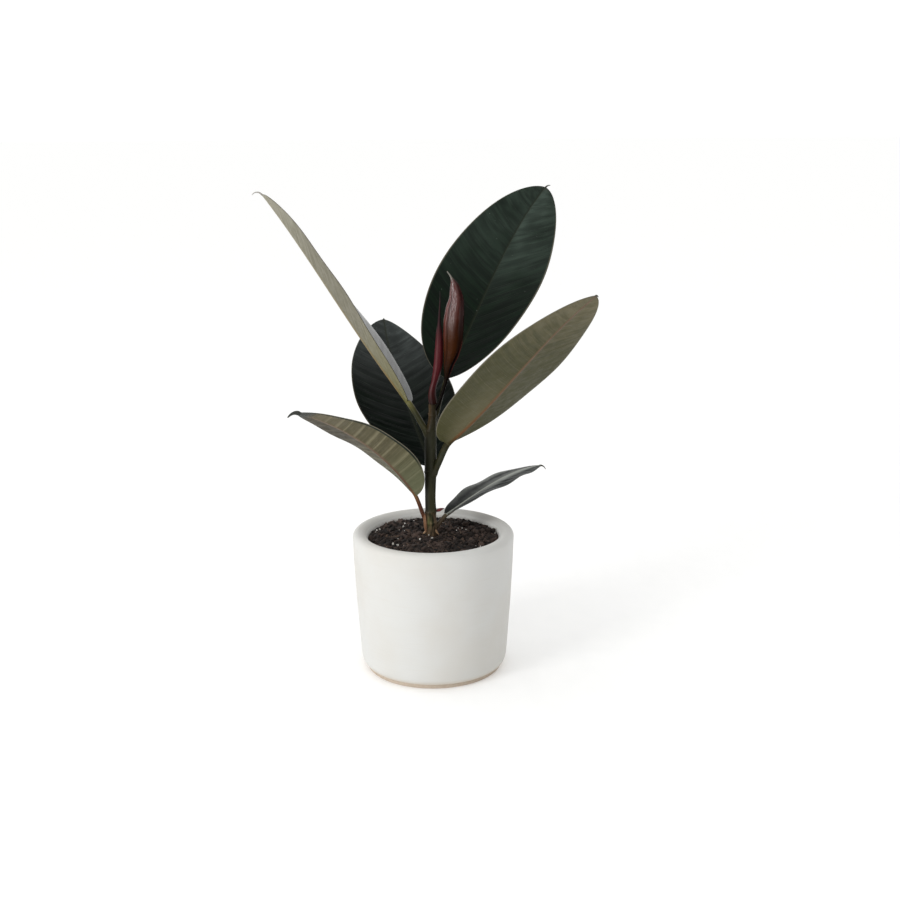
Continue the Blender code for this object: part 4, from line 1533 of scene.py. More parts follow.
@dataclass(frozen=True)
class RubberLeaf:
    """One leaf with its stalk. Angles that come in threes hold at the blade's base, middle and tip."""

    name: str
    stands_for: str
    number: int
    node_height: float
    node_heading: float
    node_rise: float
    stalk_radius: float
    base: Three
    length: float
    width: float
    rise: Three
    heading: Three
    roll: Three
    left_fold: Three
    right_fold: Three
    widest: float
    roundness: float
    drip: float
    droop: float
    waves: float
    finish: LeafFinish
    thickness: float = 0.8 * MM
    margin_thinning: float = 0.5
    thin_margin: Pair = (0.90, 1.0)
    fold_softness: float = 1.2 * MM
    core_fall: float = 0.6
    rib_depth: float = 1.3 * MM
    rib_groove: float = 0.3 * MM
    rib_width: float = 1.1
    rib_limit: float = 0.5
    rib_fall: float = 0.7
    rib_start: float = 0.07
    rib_shoulder: float = 1.15
    rib_groove_width: float = 0.5
    rib_painted: Pair = (0.55, 1.15)
    wave: float = 0.7 * MM
    wave_shift: float = 1.9
    wave_start: float = 0.0
    tip_radius: float = 0.45 * MM
    drip_taper: float = 0.55
    vein_spacing: float = 11 * MM
    vein_slant: float = 0.42
    vein_bend: float = 0.18
    vein_stagger: float = 0.47
    vein_shift: float = 1.7
    vein_drifts: tuple[Three, ...] = ((0.16, 1.9, 1.0), (0.10, 4.3, 3.0))  # size, pace and turn of each
    quilting: float = 0.24 * MM
    quilt_rise: Pair = (0.05, 0.22)
    quilt_fall: Pair = (0.78, 0.97)
    quilt_ends: float = 0.4
    quilt_share: Pair = (0.65, 0.35)  # its steady part, and the part that varies
    quilt_paces: Pair = (2.3, 5.0)  # of that part, from vein to vein and towards the margin
    stalk_flare: float = 0.28
    flare_reach: float = 3.5 * MM
    stalk_taper: float = 0.12
    stalk_pull: Pair = (0.35, 0.2)
    side_seam: float = 1 * MM
    flat_range: Pair = (0.4, 1.0)
    line_stations: int = 401
    stalk_stations: int = 30
    blade_stations: int = 170
    drip_stations: int = 12
    rib_columns: int = 5
    blade_columns: int = 20
    column_crowding: float = 1.35

    @staticmethod
    def between(three: Three, along: Grid) -> Grid:
        """Leads a number smoothly along the blade.

        Args:
            three: The number at the base, middle and tip.
            along: Shares of the blade's length.

        Returns:
            The number at each share.
        """
        base, middle, tip = three
        rest = 1 - along
        return base * rest * (rest - along) + 4 * middle * along * rest + tip * along * (along - rest)

    @staticmethod
    def directions(rise: Grid, heading: Grid) -> Grid:
        """Returns unit vectors for rises and headings in degrees."""
        up, turn = np.radians(rise), np.radians(heading)
        return np.stack([np.cos(up) * np.cos(turn), np.cos(up) * np.sin(turn), np.sin(up)], axis=-1)

    @staticmethod
    def travel(ahead: Grid, length: float) -> Grid:
        """Returns the places along a line of a length that leaves from zero in given directions."""
        steps = (ahead[1:] + ahead[:-1]) / 2 * length / (len(ahead) - 1)
        return np.vstack([np.zeros(3), np.cumsum(steps, axis=0)])

    def centre_line(self, blade_shares: Grid, stem: YoungStem) -> tuple[Grid, Grid]:
        """Works out the leaf's centre line.

        Args:
            blade_shares: Stations of the blade, as shares of its length.
            stem: The stem that it grows on.

        Returns:
            Places and directions, from the stem to the end of the drip tip.
        """
        fine = np.linspace(0, 1, self.line_stations)
        ahead = self.directions(self.between(self.rise, fine), self.between(self.heading, fine))
        places = self.travel(ahead, self.length) + np.array(self.base)
        blade = np.stack([np.interp(blade_shares, fine, row) for row in places.T], axis=-1)
        blade_ahead = np.stack([np.interp(blade_shares, fine, row) for row in ahead.T], axis=-1)

        start, end = stem.centre(self.node_height), np.array(self.base)
        reach = np.linalg.norm(end - start)
        leaving = self.directions(np.array(self.node_rise), np.array(self.node_heading))
        near_pull, far_pull = self.stalk_pull
        a, b, c, d = start, start + near_pull * reach * leaving, end - far_pull * reach * ahead[0], end
        t = np.linspace(0, 1, self.stalk_stations + 1)[:-1, None]
        stalk = a * (1 - t) ** 3 + 3 * b * t * (1 - t) ** 2 + 3 * c * t**2 * (1 - t) + d * t**3
        stalk_ahead = unit((b - a) * (1 - t) ** 2 + 2 * (c - b) * t * (1 - t) + (d - c) * t**2)

        share = np.linspace(0, 1, self.drip_stations + 1)
        drip_ahead = self.directions(self.rise[2] - self.droop * share, self.heading[2] + 0 * share)
        drip = self.travel(drip_ahead, self.drip) + places[-1]
        return np.vstack([stalk, blade, drip[1:]]), np.vstack([stalk_ahead, blade_ahead, drip_ahead[1:]])

    def vein_phase(self, travelled: Grid, across: Grid, half: Grid) -> Grid:
        """Numbers the side veins.

        Args:
            travelled: Distance of each ring along the blade.
            across: Distance of each point from the midrib, below 0 on the left.
            half: Half the blade's width at each ring.

        Returns:
            A phase for each point that is whole on a side vein.
        """
        away = np.abs(across)
        bend = self.vein_bend * away**2 / np.maximum(half, 1 * MM)
        phase = (travelled - self.vein_slant * away - bend) / self.vein_spacing
        shift = np.where(across > 0, self.vein_stagger, 0.0) + self.vein_shift * self.number
        drifted = phase
        for size, pace, turn in self.vein_drifts:
            drifted = drifted + size * np.sin(pace * phase + turn * shift)
        return drifted + shift

    def widths(self, places: Grid, share: Grid, stem: YoungStem) -> tuple[Grid, Grid]:
        """Works out how thick and how wide the leaf is.

        Args:
            places: The centre line.
            share: Share of the blade's length at each of its points.
            stem: The stem that it grows on.

        Returns:
            Radius of the core that midrib and stalk share, and half the width.
        """
        on_stalk = slice(0, self.stalk_stations)
        tip = 2 * self.tip_radius
        stalk_end = self.stalk_radius * (1 - self.stalk_taper)
        core = stalk_end + (tip - stalk_end) * share**self.core_fall
        core[on_stalk] += (self.stalk_radius - stalk_end) * np.linspace(1, 0, self.stalk_stations + 1)[:-1]
        core[-self.drip_stations:] = np.linspace(tip, self.drip_taper * self.tip_radius, self.drip_stations)
        out = np.linalg.norm(places[on_stalk] - places[0], axis=1) - stem.at(self.node_height)[1]
        core[on_stalk] *= 1 + self.stalk_flare * bell(np.maximum(out, 0), self.flare_reach)
        outline = np.clip(np.sin(np.pi * share**self.widest), 0, 1) ** self.roundness
        return core, np.maximum(self.width / 2 * outline, core)

    def axes(self, ahead: Grid, share: Grid) -> tuple[Grid, Grid]:
        """Works out how the blade is turned.

        Args:
            ahead: Directions of the centre line.
            share: Share of the blade's length at each of its points.

        Returns:
            The blade's own up and right.
        """
        roll = np.radians(self.between(self.roll, share))[:, None]
        roll[: self.stalk_stations] *= np.linspace(0, 1, self.stalk_stations)[:, None]
        level = unit(np.array([0.0, 0.0, 1.0]) - ahead * ahead[:, 2:3])
        right = np.cross(ahead, level)
        return level * np.cos(roll) + right * np.sin(roll), right * np.cos(roll) - level * np.sin(roll)

    def columns(self, core: Grid, half: Grid) -> tuple[Grid, Grid]:
        """Spreads the points of one face from margin to margin.

        Args:
            core: Radius of the core at each ring.
            half: Half the width at each ring.

        Returns:
            Distance of each point from the midrib, below 0 on the left, and half the midrib's width.
        """
        rib = np.minimum(self.rib_width * core, self.rib_limit * half)
        near = rib * np.linspace(0, 1, self.rib_columns)
        spread = 1 - (1 - np.linspace(0, 1, self.blade_columns + 1)[1:]) ** self.column_crowding
        offsets = np.concatenate([near, rib + (half - rib) * spread], axis=1)
        return np.concatenate([-offsets[:, :0:-1], offsets], axis=1), rib

    def faces(
        self, share: Grid, across: Grid, rib: Grid, margin: Grid, veins: Grid
    ) -> tuple[Grid, Grid]:
        """Works out how high the two faces lie over the blade's middle.

        Args:
            share: Share of the blade's length at each ring.
            across: Distance of each point from the midrib, below 0 on the left.
            rib: Half the midrib's width.
            margin: Share of the way from the midrib to the margin.
            veins: Phase of the side veins.

        Returns:
            Heights of the upper and the lower face.
        """
        phase = math.tau * self.waves * share + self.wave_start + self.number
        phase = phase + np.where(across > 0, self.wave_shift, 0.0)
        wave = self.wave * np.sin(np.pi * share) * margin**2 * np.sin(phase)
        calm = window(margin, self.quilt_rise, self.quilt_fall) * np.sin(np.pi * share) ** self.quilt_ends
        (steady, varied), (vein_pace, margin_pace) = self.quilt_share, self.quilt_paces
        uneven = steady + varied * np.sin(vein_pace * veins + margin_pace * margin + self.number)
        wave = wave + self.quilting * calm * uneven * -np.cos(math.tau * veins)
        groove = self.rib_groove * bell(across, self.rib_groove_width * rib)
        ribbed = (1 + np.cos(np.pi * np.clip(across / (self.rib_shoulder * rib), -1, 1))) / 2
        half_thick = self.thickness / 2 * (1 - self.margin_thinning * ease(margin, *self.thin_margin))
        extra = self.stalk_radius * (1 - self.stalk_taper) - self.thickness / 2 - self.rib_depth
        thick_rib = max(extra, 0) * np.exp(-share / self.rib_start)
        rib_depth = (self.rib_depth * (1 - share) ** self.rib_fall + thick_rib) * ribbed
        return half_thick + wave - groove, -half_thick + wave - rib_depth

    def skin(self, stem: YoungStem) -> tuple[Grid, dict[str, Grid], Grid]:
        """Works out the leaf's surface.

        Args:
            stem: The stem that it grows on.

        Returns:
            Rings, the numbers for the finish, and the material slots. A ring runs over the upper face from
            the left margin to the right one, and back under the lower face.
        """
        t = (1 - np.cos(np.pi * np.linspace(0, 1, self.blade_stations))) / 2
        places, ahead = self.centre_line(t, stem)
        share = np.concatenate([np.zeros(self.stalk_stations), t, np.ones(self.drip_stations)])
        stalk = np.linspace(-1, 0, self.stalk_stations + 1)[:-1]
        along = np.concatenate([stalk, t, 1 + np.linspace(0, 1, self.drip_stations + 1)[1:]])
        core, half = self.widths(places, share, stem)
        up, right = self.axes(ahead, share)

        share, core, half = share[:, None], core[:, None], half[:, None]
        flat = np.clip(half / core - 1, 0, 1)
        across, rib = self.columns(core, half)
        margin = np.abs(across) / half
        veins = self.vein_phase(share * self.length, across, half)
        upper, lower = self.faces(share, across, rib, margin, veins)

        columns = across.shape[1]
        turn = np.radians(180 - (np.arange(columns) + 0.5) * 180 / columns)[None]
        folds = [np.radians(self.between(fold, share)) for fold in (self.right_fold, self.left_fold)]
        fold = np.where(across > 0, *folds) * flat * (1 - bell(across, self.fold_softness))
        sides = []
        for side, heights in ((1, upper), (-1, lower)):
            x = core * np.cos(turn) * (1 - flat) + across * flat
            z = side * core * np.sin(turn) * (1 - flat) + heights * flat
            outward = np.abs(x) * np.sin(fold) + z * np.cos(fold)
            sideways = x * np.cos(fold) - np.sign(x) * z * np.sin(fold)
            points = places[:, None] + sideways[..., None] * right[:, None]
            sides.append((points + outward[..., None] * up[:, None])[:, ::side])

        values = {
            "phase": veins,
            "across": margin * ease(flat, *self.flat_range),
            "rib": np.maximum(1 - ease(np.abs(across) / rib, *self.rib_painted), 1 - flat),
            "side": ease(across, -self.side_seam, self.side_seam),
            "along": along[:, None] + 0 * across,
        }
        values = {key: np.concatenate([grid, grid[:, ::-1]], axis=1) for key, grid in values.items()}
        slots = np.full((len(share) - 1, 2 * columns), LeafFace.UPPER, dtype=int)
        slots[:, columns:] = LeafFace.UNDER
        slots[: self.stalk_stations] = LeafFace.STALK
        return np.concatenate(sides, axis=1), values, slots

    def build(self, stem: YoungStem) -> None:
        """Builds the leaf.

        Args:
            stem: The stem that it grows on.
        """
        mesh = skinned(self.name, *self.skin(stem))
        finishes = [self.finish.upper_face(), self.finish.under_face(), self.finish.stalk()]
        placed(self.name, mesh, finishes, "leaf", self.stands_for)


@dataclass(frozen=True)
class RedSheath:
    """The pointed red sheath at the top.

    Each point of its path is right, back, up and radius, in millimetres.
    """

    path: tuple[Four, ...] = (
        (0.5, 0, 250.3, 3.8), (0.5, 0, 252.5, 4.0), (0.0, -0.4, 257, 3.8), (0.3, -0.8, 263, 3.3),
        (1.7, -1, 268.8, 3.0), (3.7, -1, 276.5, 3.6), (5.5, -1, 285.7, 4.2), (6.5, -1, 298.8, 4.0),
        (6.9, -1, 308.5, 3.5), (7.0, -1, 316.6, 2.8), (7.1, -1, 322.5, 1.8), (7.3, -1, 330.5, 1.1),
        (7.8, -1, 340.5, 0.7), (8.1, -1, 352, 0.35),
    )
    spans: int = 8
    sides: int = 40
    ridges: tuple[Three, ...] = ((0.035, 3, 2.2), (0.02, 8, 5))  # height, number and twist of each kind
    inset: float = 0.055
    seam_turn: float = 4.4
    seam_width: float = 0.16
    seam_from: Pair = (0.15, 0.3)
    seam_show: float = 0.35
    finish: GrowthFinish = GrowthFinish(
        "red_sheath", paint(42, 18, 13), paint(82, 26, 31), paint(40, 24, 27), inside=paint(22, 9, 11),
        lip=paint(100, 50, 48), thread=paint(34, 30, 30), roughness=(0.32, 0.44), bends=(0.5, 0.82),
        specular=(0.22, 0.1),
    )

    def build(self) -> None:
        """Builds the sheath."""
        line = smooth_path(self.path, self.spans) * MM
        centres = line[:, None, :3]
        turns = full_turn(self.sides)
        along = np.linspace(0, 1, len(line))[:, None]
        ridged = sum(high * np.cos(number * turns + twist * along) for high, number, twist in self.ridges)
        swell = (1 + ridged - self.inset)[..., None]
        rings = centres + (tube_rings(line[:, :3], line[:, 3], self.sides) - centres) * swell
        seam = bell(turns - self.seam_turn, self.seam_width) * ease(along, *self.seam_from) * self.seam_show
        values = {"along": along + 0 * turns, "lip": seam, "inside": 0 * seam, "dull_and_shaded": 0 * seam}
        mesh = skinned("red_sheath", rings, values)
        placed("red_sheath", mesh, [self.finish.material()], "sheath", "tip_sheath")


@dataclass(frozen=True)
class RolledLeaf:
    """The newest leaf, still rolled up, with a lip on its left and a slit at its foot.

    Each point of its path is right, back, up and half the width, in millimetres. Turns are in degrees from
    the plant's right over its back.
    """

    path: tuple[Four, ...] = (
        (0.0, -0.5, 241.5, 1.6), (5.5, -1.8, 250, 1.6), (9.9, -2.6, 262, 1.5), (12.8, -3.0, 272.5, 1.7),
        (15.3, -3.5, 286.2, 4.6), (18.3, -3.5, 298.9, 7.6), (19.5, -3.5, 310.3, 8.9),
        (20.0, -3.5, 322.2, 9.3), (21.2, -3.5, 334.8, 8.7), (22.4, -3.5, 346.3, 6.6),
        (20.9, -3.5, 357, 4.1), (19.4, -3.5, 361.7, 2.0), (18.2, -3.5, 364.2, 1.0),
        (16.6, -3.5, 367, 0.6), (14.3, -3.5, 370, 0.4),
    )
    spans: int = 9
    sides: int = 160
    depth: float = 0.72
    blade_rise: Pair = (279 * MM, 292 * MM)
    blade_fall: Pair = (350 * MM, 362 * MM)
    groove_turn: float = 229.0
    groove_width: float = 7.0
    groove_depth: float = 0.11
    painted_groove_shade: float = 0.4
    lip_rise: Pair = (168, 186)
    lip_fall: Pair = (214, 226)
    lip_height: float = 0.05
    lip_along: Pair = (0.4, 0.7)
    lip_show: float = 0.45
    facet: float = 0.93
    facet_turns: Pair = (234.0, 247.0)
    facet_twist: Pair = (300 * MM, 350 * MM)
    facet_end: float = 0.5
    facet_rise: Pair = (226, 236)
    facet_fall: Pair = (296, 316)
    ridge_height: float = 0.08
    ridge_fall: Pair = (276, 312)
    edge_sharpness: float = 40.0
    slit_depth: float = 0.30
    slit_rise: Pair = (273 * MM, 281 * MM)
    slit_fall: Pair = (284 * MM, 318 * MM)
    slit_turn: float = 347.0
    slit_width: float = 62.0
    slit_edge: float = 9.0
    slit_end: Pair = (346, 354)
    slit_open: Pair = (0.04, 0.2)
    rim_turn: float = 353.0
    rim_width: float = 4.0
    rim_open: Pair = (0.05, 0.3)
    rim_show: float = 0.8
    ripple: float = 0.012
    ripple_height: float = 2.1 * MM
    ripple_turns: float = 3.0
    # the right side, which is less glossy and darkened with painted shade
    dull_and_shaded_turns: Pair = (278, 314)
    # the dark base colour is partly the blade's own and partly painted shadow from the sheath
    finish: GrowthFinish = GrowthFinish(
        "rolled_blade", paint(16, 12, 8), paint(64, 33, 15), paint(78, 33, 27), inside=paint(12, 6, 10),
        lip=paint(106, 56, 52), thread=paint(120, 118, 108), roughness=(0.10, 0.20), base_until=0.2,
        bends=(0.5, 0.8), specular=(0.04, 0.75), fibres=0.04 * MM, bumps=0.34 * MM,
    )

    def front(self, degrees: Grid, height: Grid) -> Grid:
        """Works out the flattened front.

        Args:
            degrees: Turns of a ring's points.
            height: Heights of the rings.

        Returns:
            The reach of each point, as a share of half the width.
        """
        low, high = self.facet_turns
        turn = low + (high - low) * ease(height, *self.facet_twist)
        facet = self.facet / np.maximum(np.cos(np.radians(degrees - turn)), self.facet_end)
        ridge = 1 + self.ridge_height * (1 - ease(degrees, *self.ridge_fall))
        sharp = self.edge_sharpness
        return -np.log(np.exp(-sharp * facet) + np.exp(-sharp * ridge)) / sharp

    def form(self, degrees: Grid, height: Grid) -> tuple[Grid, dict[str, Grid]]:
        """Works out the rolled blade's section.

        Args:
            degrees: Turns of a ring's points.
            height: Heights of the rings.

        Returns:
            The reach of each point, as a share of half the width, and the numbers for the finish.
        """
        blade = window(height, self.blade_rise, self.blade_fall)
        groove = bell(degrees - self.groove_turn, self.groove_width) * blade
        lip = window(degrees, self.lip_rise, self.lip_fall) * blade
        slit = (1 - ease(height, *self.slit_fall)) * ease(height, *self.slit_rise)
        edge = self.slit_turn - self.slit_width * slit
        inside = window(degrees, (edge, edge + self.slit_edge), self.slit_end) * ease(slit, *self.slit_open)
        swell = 1 - self.groove_depth * groove - self.slit_depth * inside
        swell = swell - self.lip_height * (1 - lip) * blade
        facing = window(degrees, self.facet_rise, self.facet_fall) * blade
        swell = swell + (self.front(degrees, height) - swell) * facing
        ripples = np.sin(height / self.ripple_height + self.ripple_turns * np.radians(degrees))
        along = (height - height[0]) / (height[-1] - height[0]) + 0 * degrees
        rim = bell(degrees - self.rim_turn, self.rim_width) * ease(slit, *self.rim_open)
        lips = self.lip_show * lip * ease(along, *self.lip_along) + self.rim_show * rim
        values = {
            "along": along,
            "lip": np.clip(lips, 0, 1),
            # painted shade in the groove; the slit's dark inner face is partly the blade's own dark colour
            # and partly painted shade
            "inside": np.clip(inside + self.painted_groove_shade * groove, 0, 1),
            "dull_and_shaded": ease(degrees, *self.dull_and_shaded_turns) + 0 * height,
        }
        return swell + self.ripple * ripples * blade, values

    def build(self) -> None:
        """Builds the rolled leaf."""
        line = smooth_path(self.path, self.spans) * MM
        centres, widths = line[:, :3], line[:, 3]
        ahead = unit(np.gradient(centres, axis=0))
        side = unit(np.cross(np.array([0.0, 1.0, 0.0]), ahead))
        back = np.cross(ahead, side)
        degrees = np.linspace(0, 360, self.sides, endpoint=False)[None]
        turns = np.radians(degrees)
        swell, values = self.form(degrees, centres[:, 2:3])
        reach = widths[:, None] * swell
        offsets = side[:, None] * (reach * np.cos(turns))[..., None]
        offsets = offsets + back[:, None] * (reach * self.depth * np.sin(turns))[..., None]
        mesh = skinned("rolled_leaf", centres[:, None] + offsets, values)
        placed("rolled_leaf", mesh, [self.finish.material()], "new_leaf", "rolled_new_leaf")


@dataclass(frozen=True)
class OldRemains:
    """What an older sheath left at a low node.

    Each point of its path is right, back, up and half the width, in millimetres. Its depth is a share of
    its width.
    """

    name: str
    node: str
    path: tuple[Four, ...]
    depth: float
    finish: GrowthFinish
    spans: int = 10
    sides: int = 24
    ribs: int = 5
    rib_height: float = 0.06
    inset: float = 0.95
    rags: Pair = (3, 4)
    ragged: Pair = (0.6, 1.0)
    ragged_show: float = 0.5

    def build(self) -> None:
        """Builds the remains as a slender closed form."""
        line = smooth_path(self.path, self.spans) * MM
        centres = line[:, None, :3]
        turns = full_turn(self.sides)
        offsets = tube_rings(line[:, :3], line[:, 3], self.sides) - centres
        offsets[..., 1] *= self.depth
        offsets *= (1 + self.rib_height * np.sin(self.ribs * turns))[None, :, None] * self.inset
        along = np.linspace(0, 1, len(line))[:, None] + 0 * turns
        rags = ease(np.sin(self.rags[0] * turns + self.rags[1] * along), *self.ragged) * self.ragged_show
        mesh = skinned(self.name, centres + offsets, {"along": along, "lip": rags, "inside": 0 * along})
        placed(self.name, mesh, [self.finish.material()], self.node, self.node)


@dataclass(frozen=True)
class SoftBox:
    """A large soft lamp: where it hangs, its width and height, and its power in watts."""

    name: str
    place: Three
    size: Pair
    power: float
    aim: Three = (0.0, 0.0, 0.2)

    def hang(self) -> None:
        """Adds the lamp, turned to its aim."""
        lamp = bpy.data.lights.new(self.name, "AREA")
        lamp.shape = "RECTANGLE"
        lamp.size, lamp.size_y = self.size
        lamp.energy = self.power
        lit = added(self.name, lamp)
        lit.location = self.place
        lit.rotation_euler = (Vector(self.aim) - Vector(self.place)).to_track_quat("-Z", "Y").to_euler()


@dataclass(frozen=True)
class Studio:
    """Plain white floor, soft light, and the camera at the photograph's angle.

    The surroundings have a brightness for each side, and go from one to the next over a range of the
    X, Y or Z part of a direction. The camera's turns are in degrees.
    """

    floor_radius: float = 60.0
    floor_sides: int = 96
    sensor: float = 36.0
    lens: float = 51.28
    eye: Three = (0.016, -1.136, 0.493)
    tilt_down: float = 14.13
    lean: float = -0.33
    left: float = 0.72
    ahead: float = 0.36
    right: float = 0.02
    behind: float = 1.2
    overhead: float = 1.0
    to_left: Pair = (-0.85, -0.40)
    to_right: Pair = (0.40, 0.85)
    to_behind: Pair = (0.35, 0.75)
    to_overhead: Pair = (0.16, 0.62)
    lamps: tuple[SoftBox, ...] = (SoftBox("key_soft_box", (-1.4, -1.22, 0.75), (0.6, 1.3), 15.0),)

    def camera(self) -> None:
        """Adds the camera."""
        lens = bpy.data.cameras.new("photo_view")
        lens.sensor_width = self.sensor
        lens.lens = self.lens
        camera = added("photo_view", lens)
        tilt = Matrix.Rotation(math.radians(90 - self.tilt_down), 4, "X")
        lean = Matrix.Rotation(math.radians(self.lean), 4, "Z")
        camera.matrix_world = Matrix.Translation(self.eye) @ tilt @ lean
        bpy.context.scene.camera = camera

    def floor(self) -> None:
        """Adds the floor."""
        disc = bmesh.new()
        bmesh.ops.create_circle(disc, cap_ends=True, segments=self.floor_sides, radius=self.floor_radius)
        mesh = bpy.data.meshes.new("studio_floor")
        disc.to_mesh(mesh)
        disc.free()
        mesh.materials.append(FloorFinish().material())
        floor = added("studio_floor", mesh)

    def surroundings(self) -> None:
        """Lights the room from each side."""
        world = bpy.data.worlds.new("studio")
        world.use_nodes = True
        room = Wiring(world.node_tree, "Generated")
        side = room.fade(room.axis("X"), Ramp(*self.to_right, self.ahead, self.right))
        level = room.fade(room.axis("X"), Ramp(*self.to_left, self.left, side))
        level = room.fade(room.axis("Y"), Ramp(*self.to_behind, level, self.behind))
        light = room.fade(room.axis("Z"), Ramp(*self.to_overhead, level, self.overhead))
        background = room.tree.nodes["Background"]
        background.inputs["Color"].default_value = WHITE
        room.tree.links.new(light, background.inputs["Strength"])
        bpy.context.scene.world = world

    def build(self) -> None:
        """Builds the studio."""
        self.camera()
        self.floor()
        self.surroundings()
        for lamp in self.lamps:
            lamp.hang()
        bpy.context.scene.view_settings.view_transform = "Standard"


REMAINS = (
    OldRemains(
        name="papery_scale", node="dry_scale",
        path=(
            (-7.6, -4.1, 147.8, 0.4), (-7.6, -4.6, 144.3, 1.2), (-7.3, -4.9, 138.3, 1.5),
            (-6.9, -5.1, 133.3, 1.1), (-6.6, -5.2, 129.8, 0.4),
        ),
        depth=0.42,
        finish=GrowthFinish(
            "papery_scale", paint(92, 58, 42), paint(138, 100, 74), paint(128, 92, 68),
            inside=paint(62, 36, 26), lip=paint(170, 138, 110), thread=paint(120, 88, 66),
            roughness=(0.7, 0.9), specular=(0.2, 0.2), fibres=0.2 * MM,
        ),
    ),
    OldRemains(
        name="small_red_spur", node="red_spur",
        path=(
            (0.9, 0.0, 148.7, 0.9), (5.5, -0.4, 149.9, 1.5), (7.7, -0.6, 150.9, 1.2),
            (10.1, -0.8, 151.7, 0.4),
        ),
        depth=0.8,
        finish=GrowthFinish(
            "red_spur", paint(70, 32, 26), paint(112, 46, 46), paint(88, 42, 44), roughness=(0.5, 0.65)
        ),
    ),
)

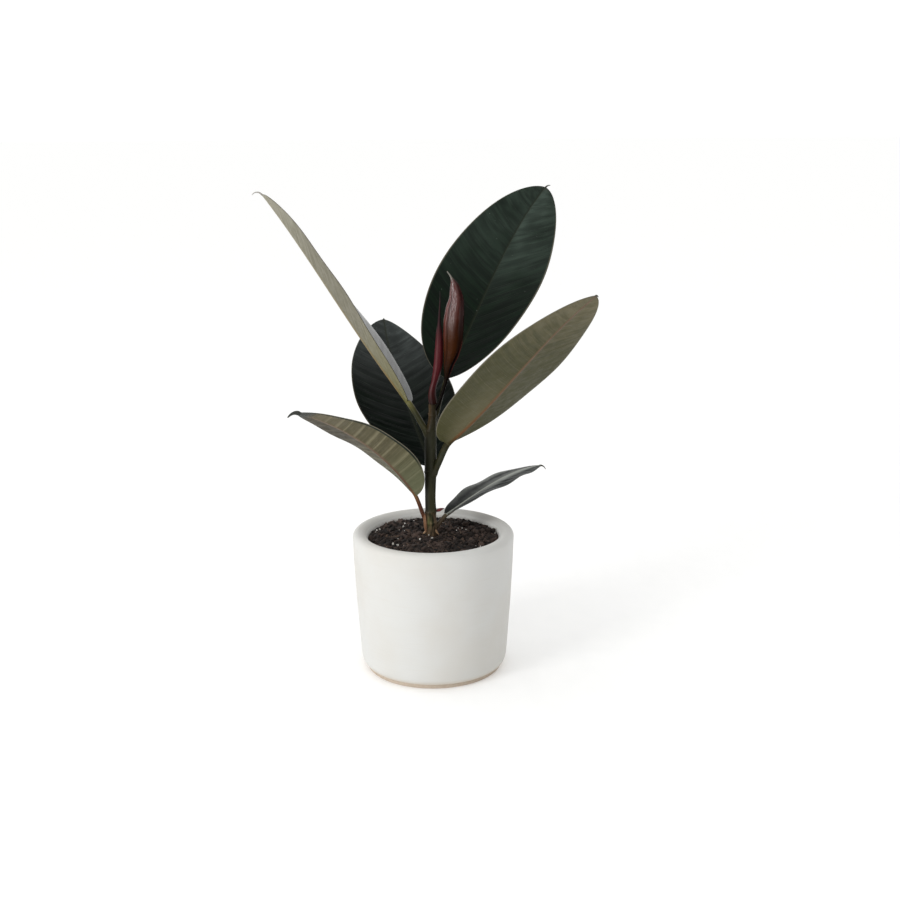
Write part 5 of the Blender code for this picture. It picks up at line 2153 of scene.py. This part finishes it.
LEAVES = (
    RubberLeaf(
        name="upper_left_leaf", stands_for="leaf_upper_left", number=1,
        node_height=217.5 * MM, node_heading=175.7, node_rise=60.9, stalk_radius=3.1 * MM,
        base=(-21.4 * MM, -0.4 * MM, 251.8 * MM), length=243 * MM, width=97 * MM,
        rise=(36.6, 51, 49.4), heading=(134.4, 150.2, 161.3), roll=(42.7, 34.1, 32.2),
        left_fold=(14.6, 11.3, 9), right_fold=(22.5, 16.3, 8.9),
        widest=0.89, roundness=0.61, drip=12 * MM, droop=100, waves=2.5,
        finish=LeafFinish(
            "upper_left_leaf",
            under=paint(114, 110, 93), under_dark=paint(102, 98, 81), under_base=paint(114, 110, 68),
            under_tip=paint(146, 143, 128), under_vein=paint(142, 138, 120), rib_base=paint(116, 98, 60),
            rib_tip=paint(150, 144, 122), margin=paint(60, 54, 44), stalk_base=paint(52, 52, 31),
            stalk_end=paint(94, 91, 46), tip=paint(150, 146, 140), gloss=1.0, base_gloss=0.25,
            painted_stalk_shade=0.8, creases=0.02 * MM, skin=0.0, vein_depth=0.04 * MM, vein_show=0.3,
            dust=Dust(0.97), roughness=(0.24, 0.27),
        ),
        stalk_taper=0.2,
    ),
    RubberLeaf(
        name="upper_right_leaf", stands_for="leaf_upper_right", number=2,
        node_height=221 * MM, node_heading=20, node_rise=68, stalk_radius=2.0 * MM,
        base=(13.4 * MM, 10.2 * MM, 271.8 * MM), length=225 * MM, width=109 * MM,
        rise=(41, 51, 37), heading=(60, 50, 45), roll=(5, 12, 25),
        left_fold=(19, 10, 9), right_fold=(17, 8, 2),
        widest=0.86, roundness=0.60, drip=7.5 * MM, droop=45, waves=2,
        finish=LeafFinish(
            "upper_right_leaf", upper=paint(2, 12, 4), upper_light=paint(6, 22, 9),
            painted_sheen=PaintedSheen(paint(64, 76, 68), left=0.4, right=0.9, start=0.33, lost=0.5), rib_show=0.55,
            vein_show=0.2, gloss=0.08,
        ),
    ),
    RubberLeaf(
        name="middle_back_leaf", stands_for="leaf_middle_back", number=3,
        node_height=172 * MM, node_heading=95, node_rise=35, stalk_radius=2.4 * MM,
        base=(-1.9 * MM, 18.9 * MM, 187 * MM), length=192 * MM, width=99 * MM,
        rise=(38, 37, 38), heading=(112, 110.5, 98), roll=(-9, -2, 6),
        left_fold=(5, 6, 7), right_fold=(7, 6, 5),
        widest=0.92, roundness=0.66, drip=5 * MM, droop=120, waves=3,
        finish=LeafFinish(
            "middle_back_leaf", upper=paint(5, 11, 8), upper_light=paint(14, 22, 17),
            painted_sheen=PaintedSheen(paint(70, 75, 74), left=0.65, right=0.85, start=0.45), edge_show=0.25,
            dust=Dust(0.45), gloss=0.1,
        ),
        quilting=0.34 * MM,
    ),
    RubberLeaf(
        name="right_leaf", stands_for="leaf_right", number=4,
        node_height=181 * MM, node_heading=-38, node_rise=52, stalk_radius=3.3 * MM,
        base=(14.8 * MM, -10.8 * MM, 216.4 * MM), length=220.4 * MM, width=95 * MM,
        rise=(34, 45, 37), heading=(-52, -43, -42), roll=(-3, -8, -15),
        left_fold=(8, 4, -3), right_fold=(8, 5, 0),
        widest=0.87, roundness=0.64, drip=3 * MM, droop=110, waves=2,
        finish=LeafFinish(
            "right_leaf",
            under=paint(66, 65, 36), under_dark=paint(62, 61, 34), under_base=paint(66, 66, 36),
            under_tip=paint(108, 101, 77), rib_tip=paint(106, 86, 68), painted_right_light=0.8,
            under_relief=0.07 * MM, stalk_end=paint(54, 50, 26), painted_stalk_shade=0.6,
        ),
        quilting=0.12 * MM,
    ),
    RubberLeaf(
        name="lower_left_leaf", stands_for="leaf_lower_left", number=5,
        node_height=131.3 * MM, node_heading=183, node_rise=53.7, stalk_radius=2.0 * MM,
        base=(-15.8 * MM, -4.9 * MM, 165 * MM), length=143 * MM, width=62.2 * MM,
        rise=(59.8, 37.7, 20.8), heading=(195.8, 196.9, 223), roll=(28, 23.7, 17.4),
        left_fold=(34.2, 16, 5.8), right_fold=(21, 5.7, -0.3),
        widest=0.77, roundness=0.67, drip=12 * MM, droop=65, waves=2.5,
        finish=LeafFinish(
            "lower_left_leaf",
            under=paint(114, 108, 84), under_dark=paint(76, 71, 50), under_base=paint(98, 102, 77),
            under_tip=paint(108, 98, 78), under_vein=paint(122, 116, 92), banding=0.8, band=(0.03, 0.17),
            painted_right_shade=1.0, curled=0.9, rib_base=paint(94, 68, 52), rib_tip=paint(116, 102, 86),
            stalk_base=paint(88, 52, 36), stalk_end=paint(112, 80, 50), collar=paint(62, 32, 24),
            tip=paint(62, 64, 60), tip_from=0.87,
        ),
        quilting=0.30 * MM, vein_slant=0.12, vein_bend=0.05, tip_radius=1.0 * MM, rib_width=0.75,
    ),
    RubberLeaf(
        name="lower_right_leaf", stands_for="leaf_lower_right", number=6,
        node_height=129.8 * MM, node_heading=15, node_rise=30, stalk_radius=2.2 * MM,
        base=(11.8 * MM, 5.9 * MM, 143 * MM), length=127 * MM, width=57 * MM,
        rise=(19, 14, -4), heading=(41, 42, 38), roll=(-16, -14, -9),
        left_fold=(10, 1, -1), right_fold=(12, 2, -2),
        widest=0.93, roundness=0.69, drip=9.5 * MM, droop=60, waves=3, wave=1.0 * MM, wave_start=0.9,
        finish=LeafFinish(
            "lower_right_leaf",
            upper=paint(4, 9, 7), upper_light=paint(11, 18, 15), upper_rib=paint(164, 167, 158),
            rib_show=0.9, painted_sheen=PaintedSheen(paint(58, 64, 62), left=0.2, right=0.2, start=0.5),
            glow=PaintedRimGlow(rim=0.7, rib=0.8), margin=paint(148, 152, 146), stalk_base=paint(84, 70, 52),
            stalk_end=paint(96, 86, 68), collar=paint(80, 62, 46), gloss=0.03, roughness=(0.36, 0.5),
        ),
    ),
)


def main() -> None:
    logging.basicConfig(level=logging.INFO, format="%(message)s")
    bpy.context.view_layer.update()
    Studio().build()
    pot = CeramicPot()
    pot.build()
    PottingMix(pot).build()
    stem = YoungStem()
    stem.build()
    for leaf in LEAVES:
        leaf.build(stem)
    RedSheath().build()
    RolledLeaf().build()
    for remains in REMAINS:
        remains.build()
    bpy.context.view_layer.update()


if __name__ == "__main__":
    main()
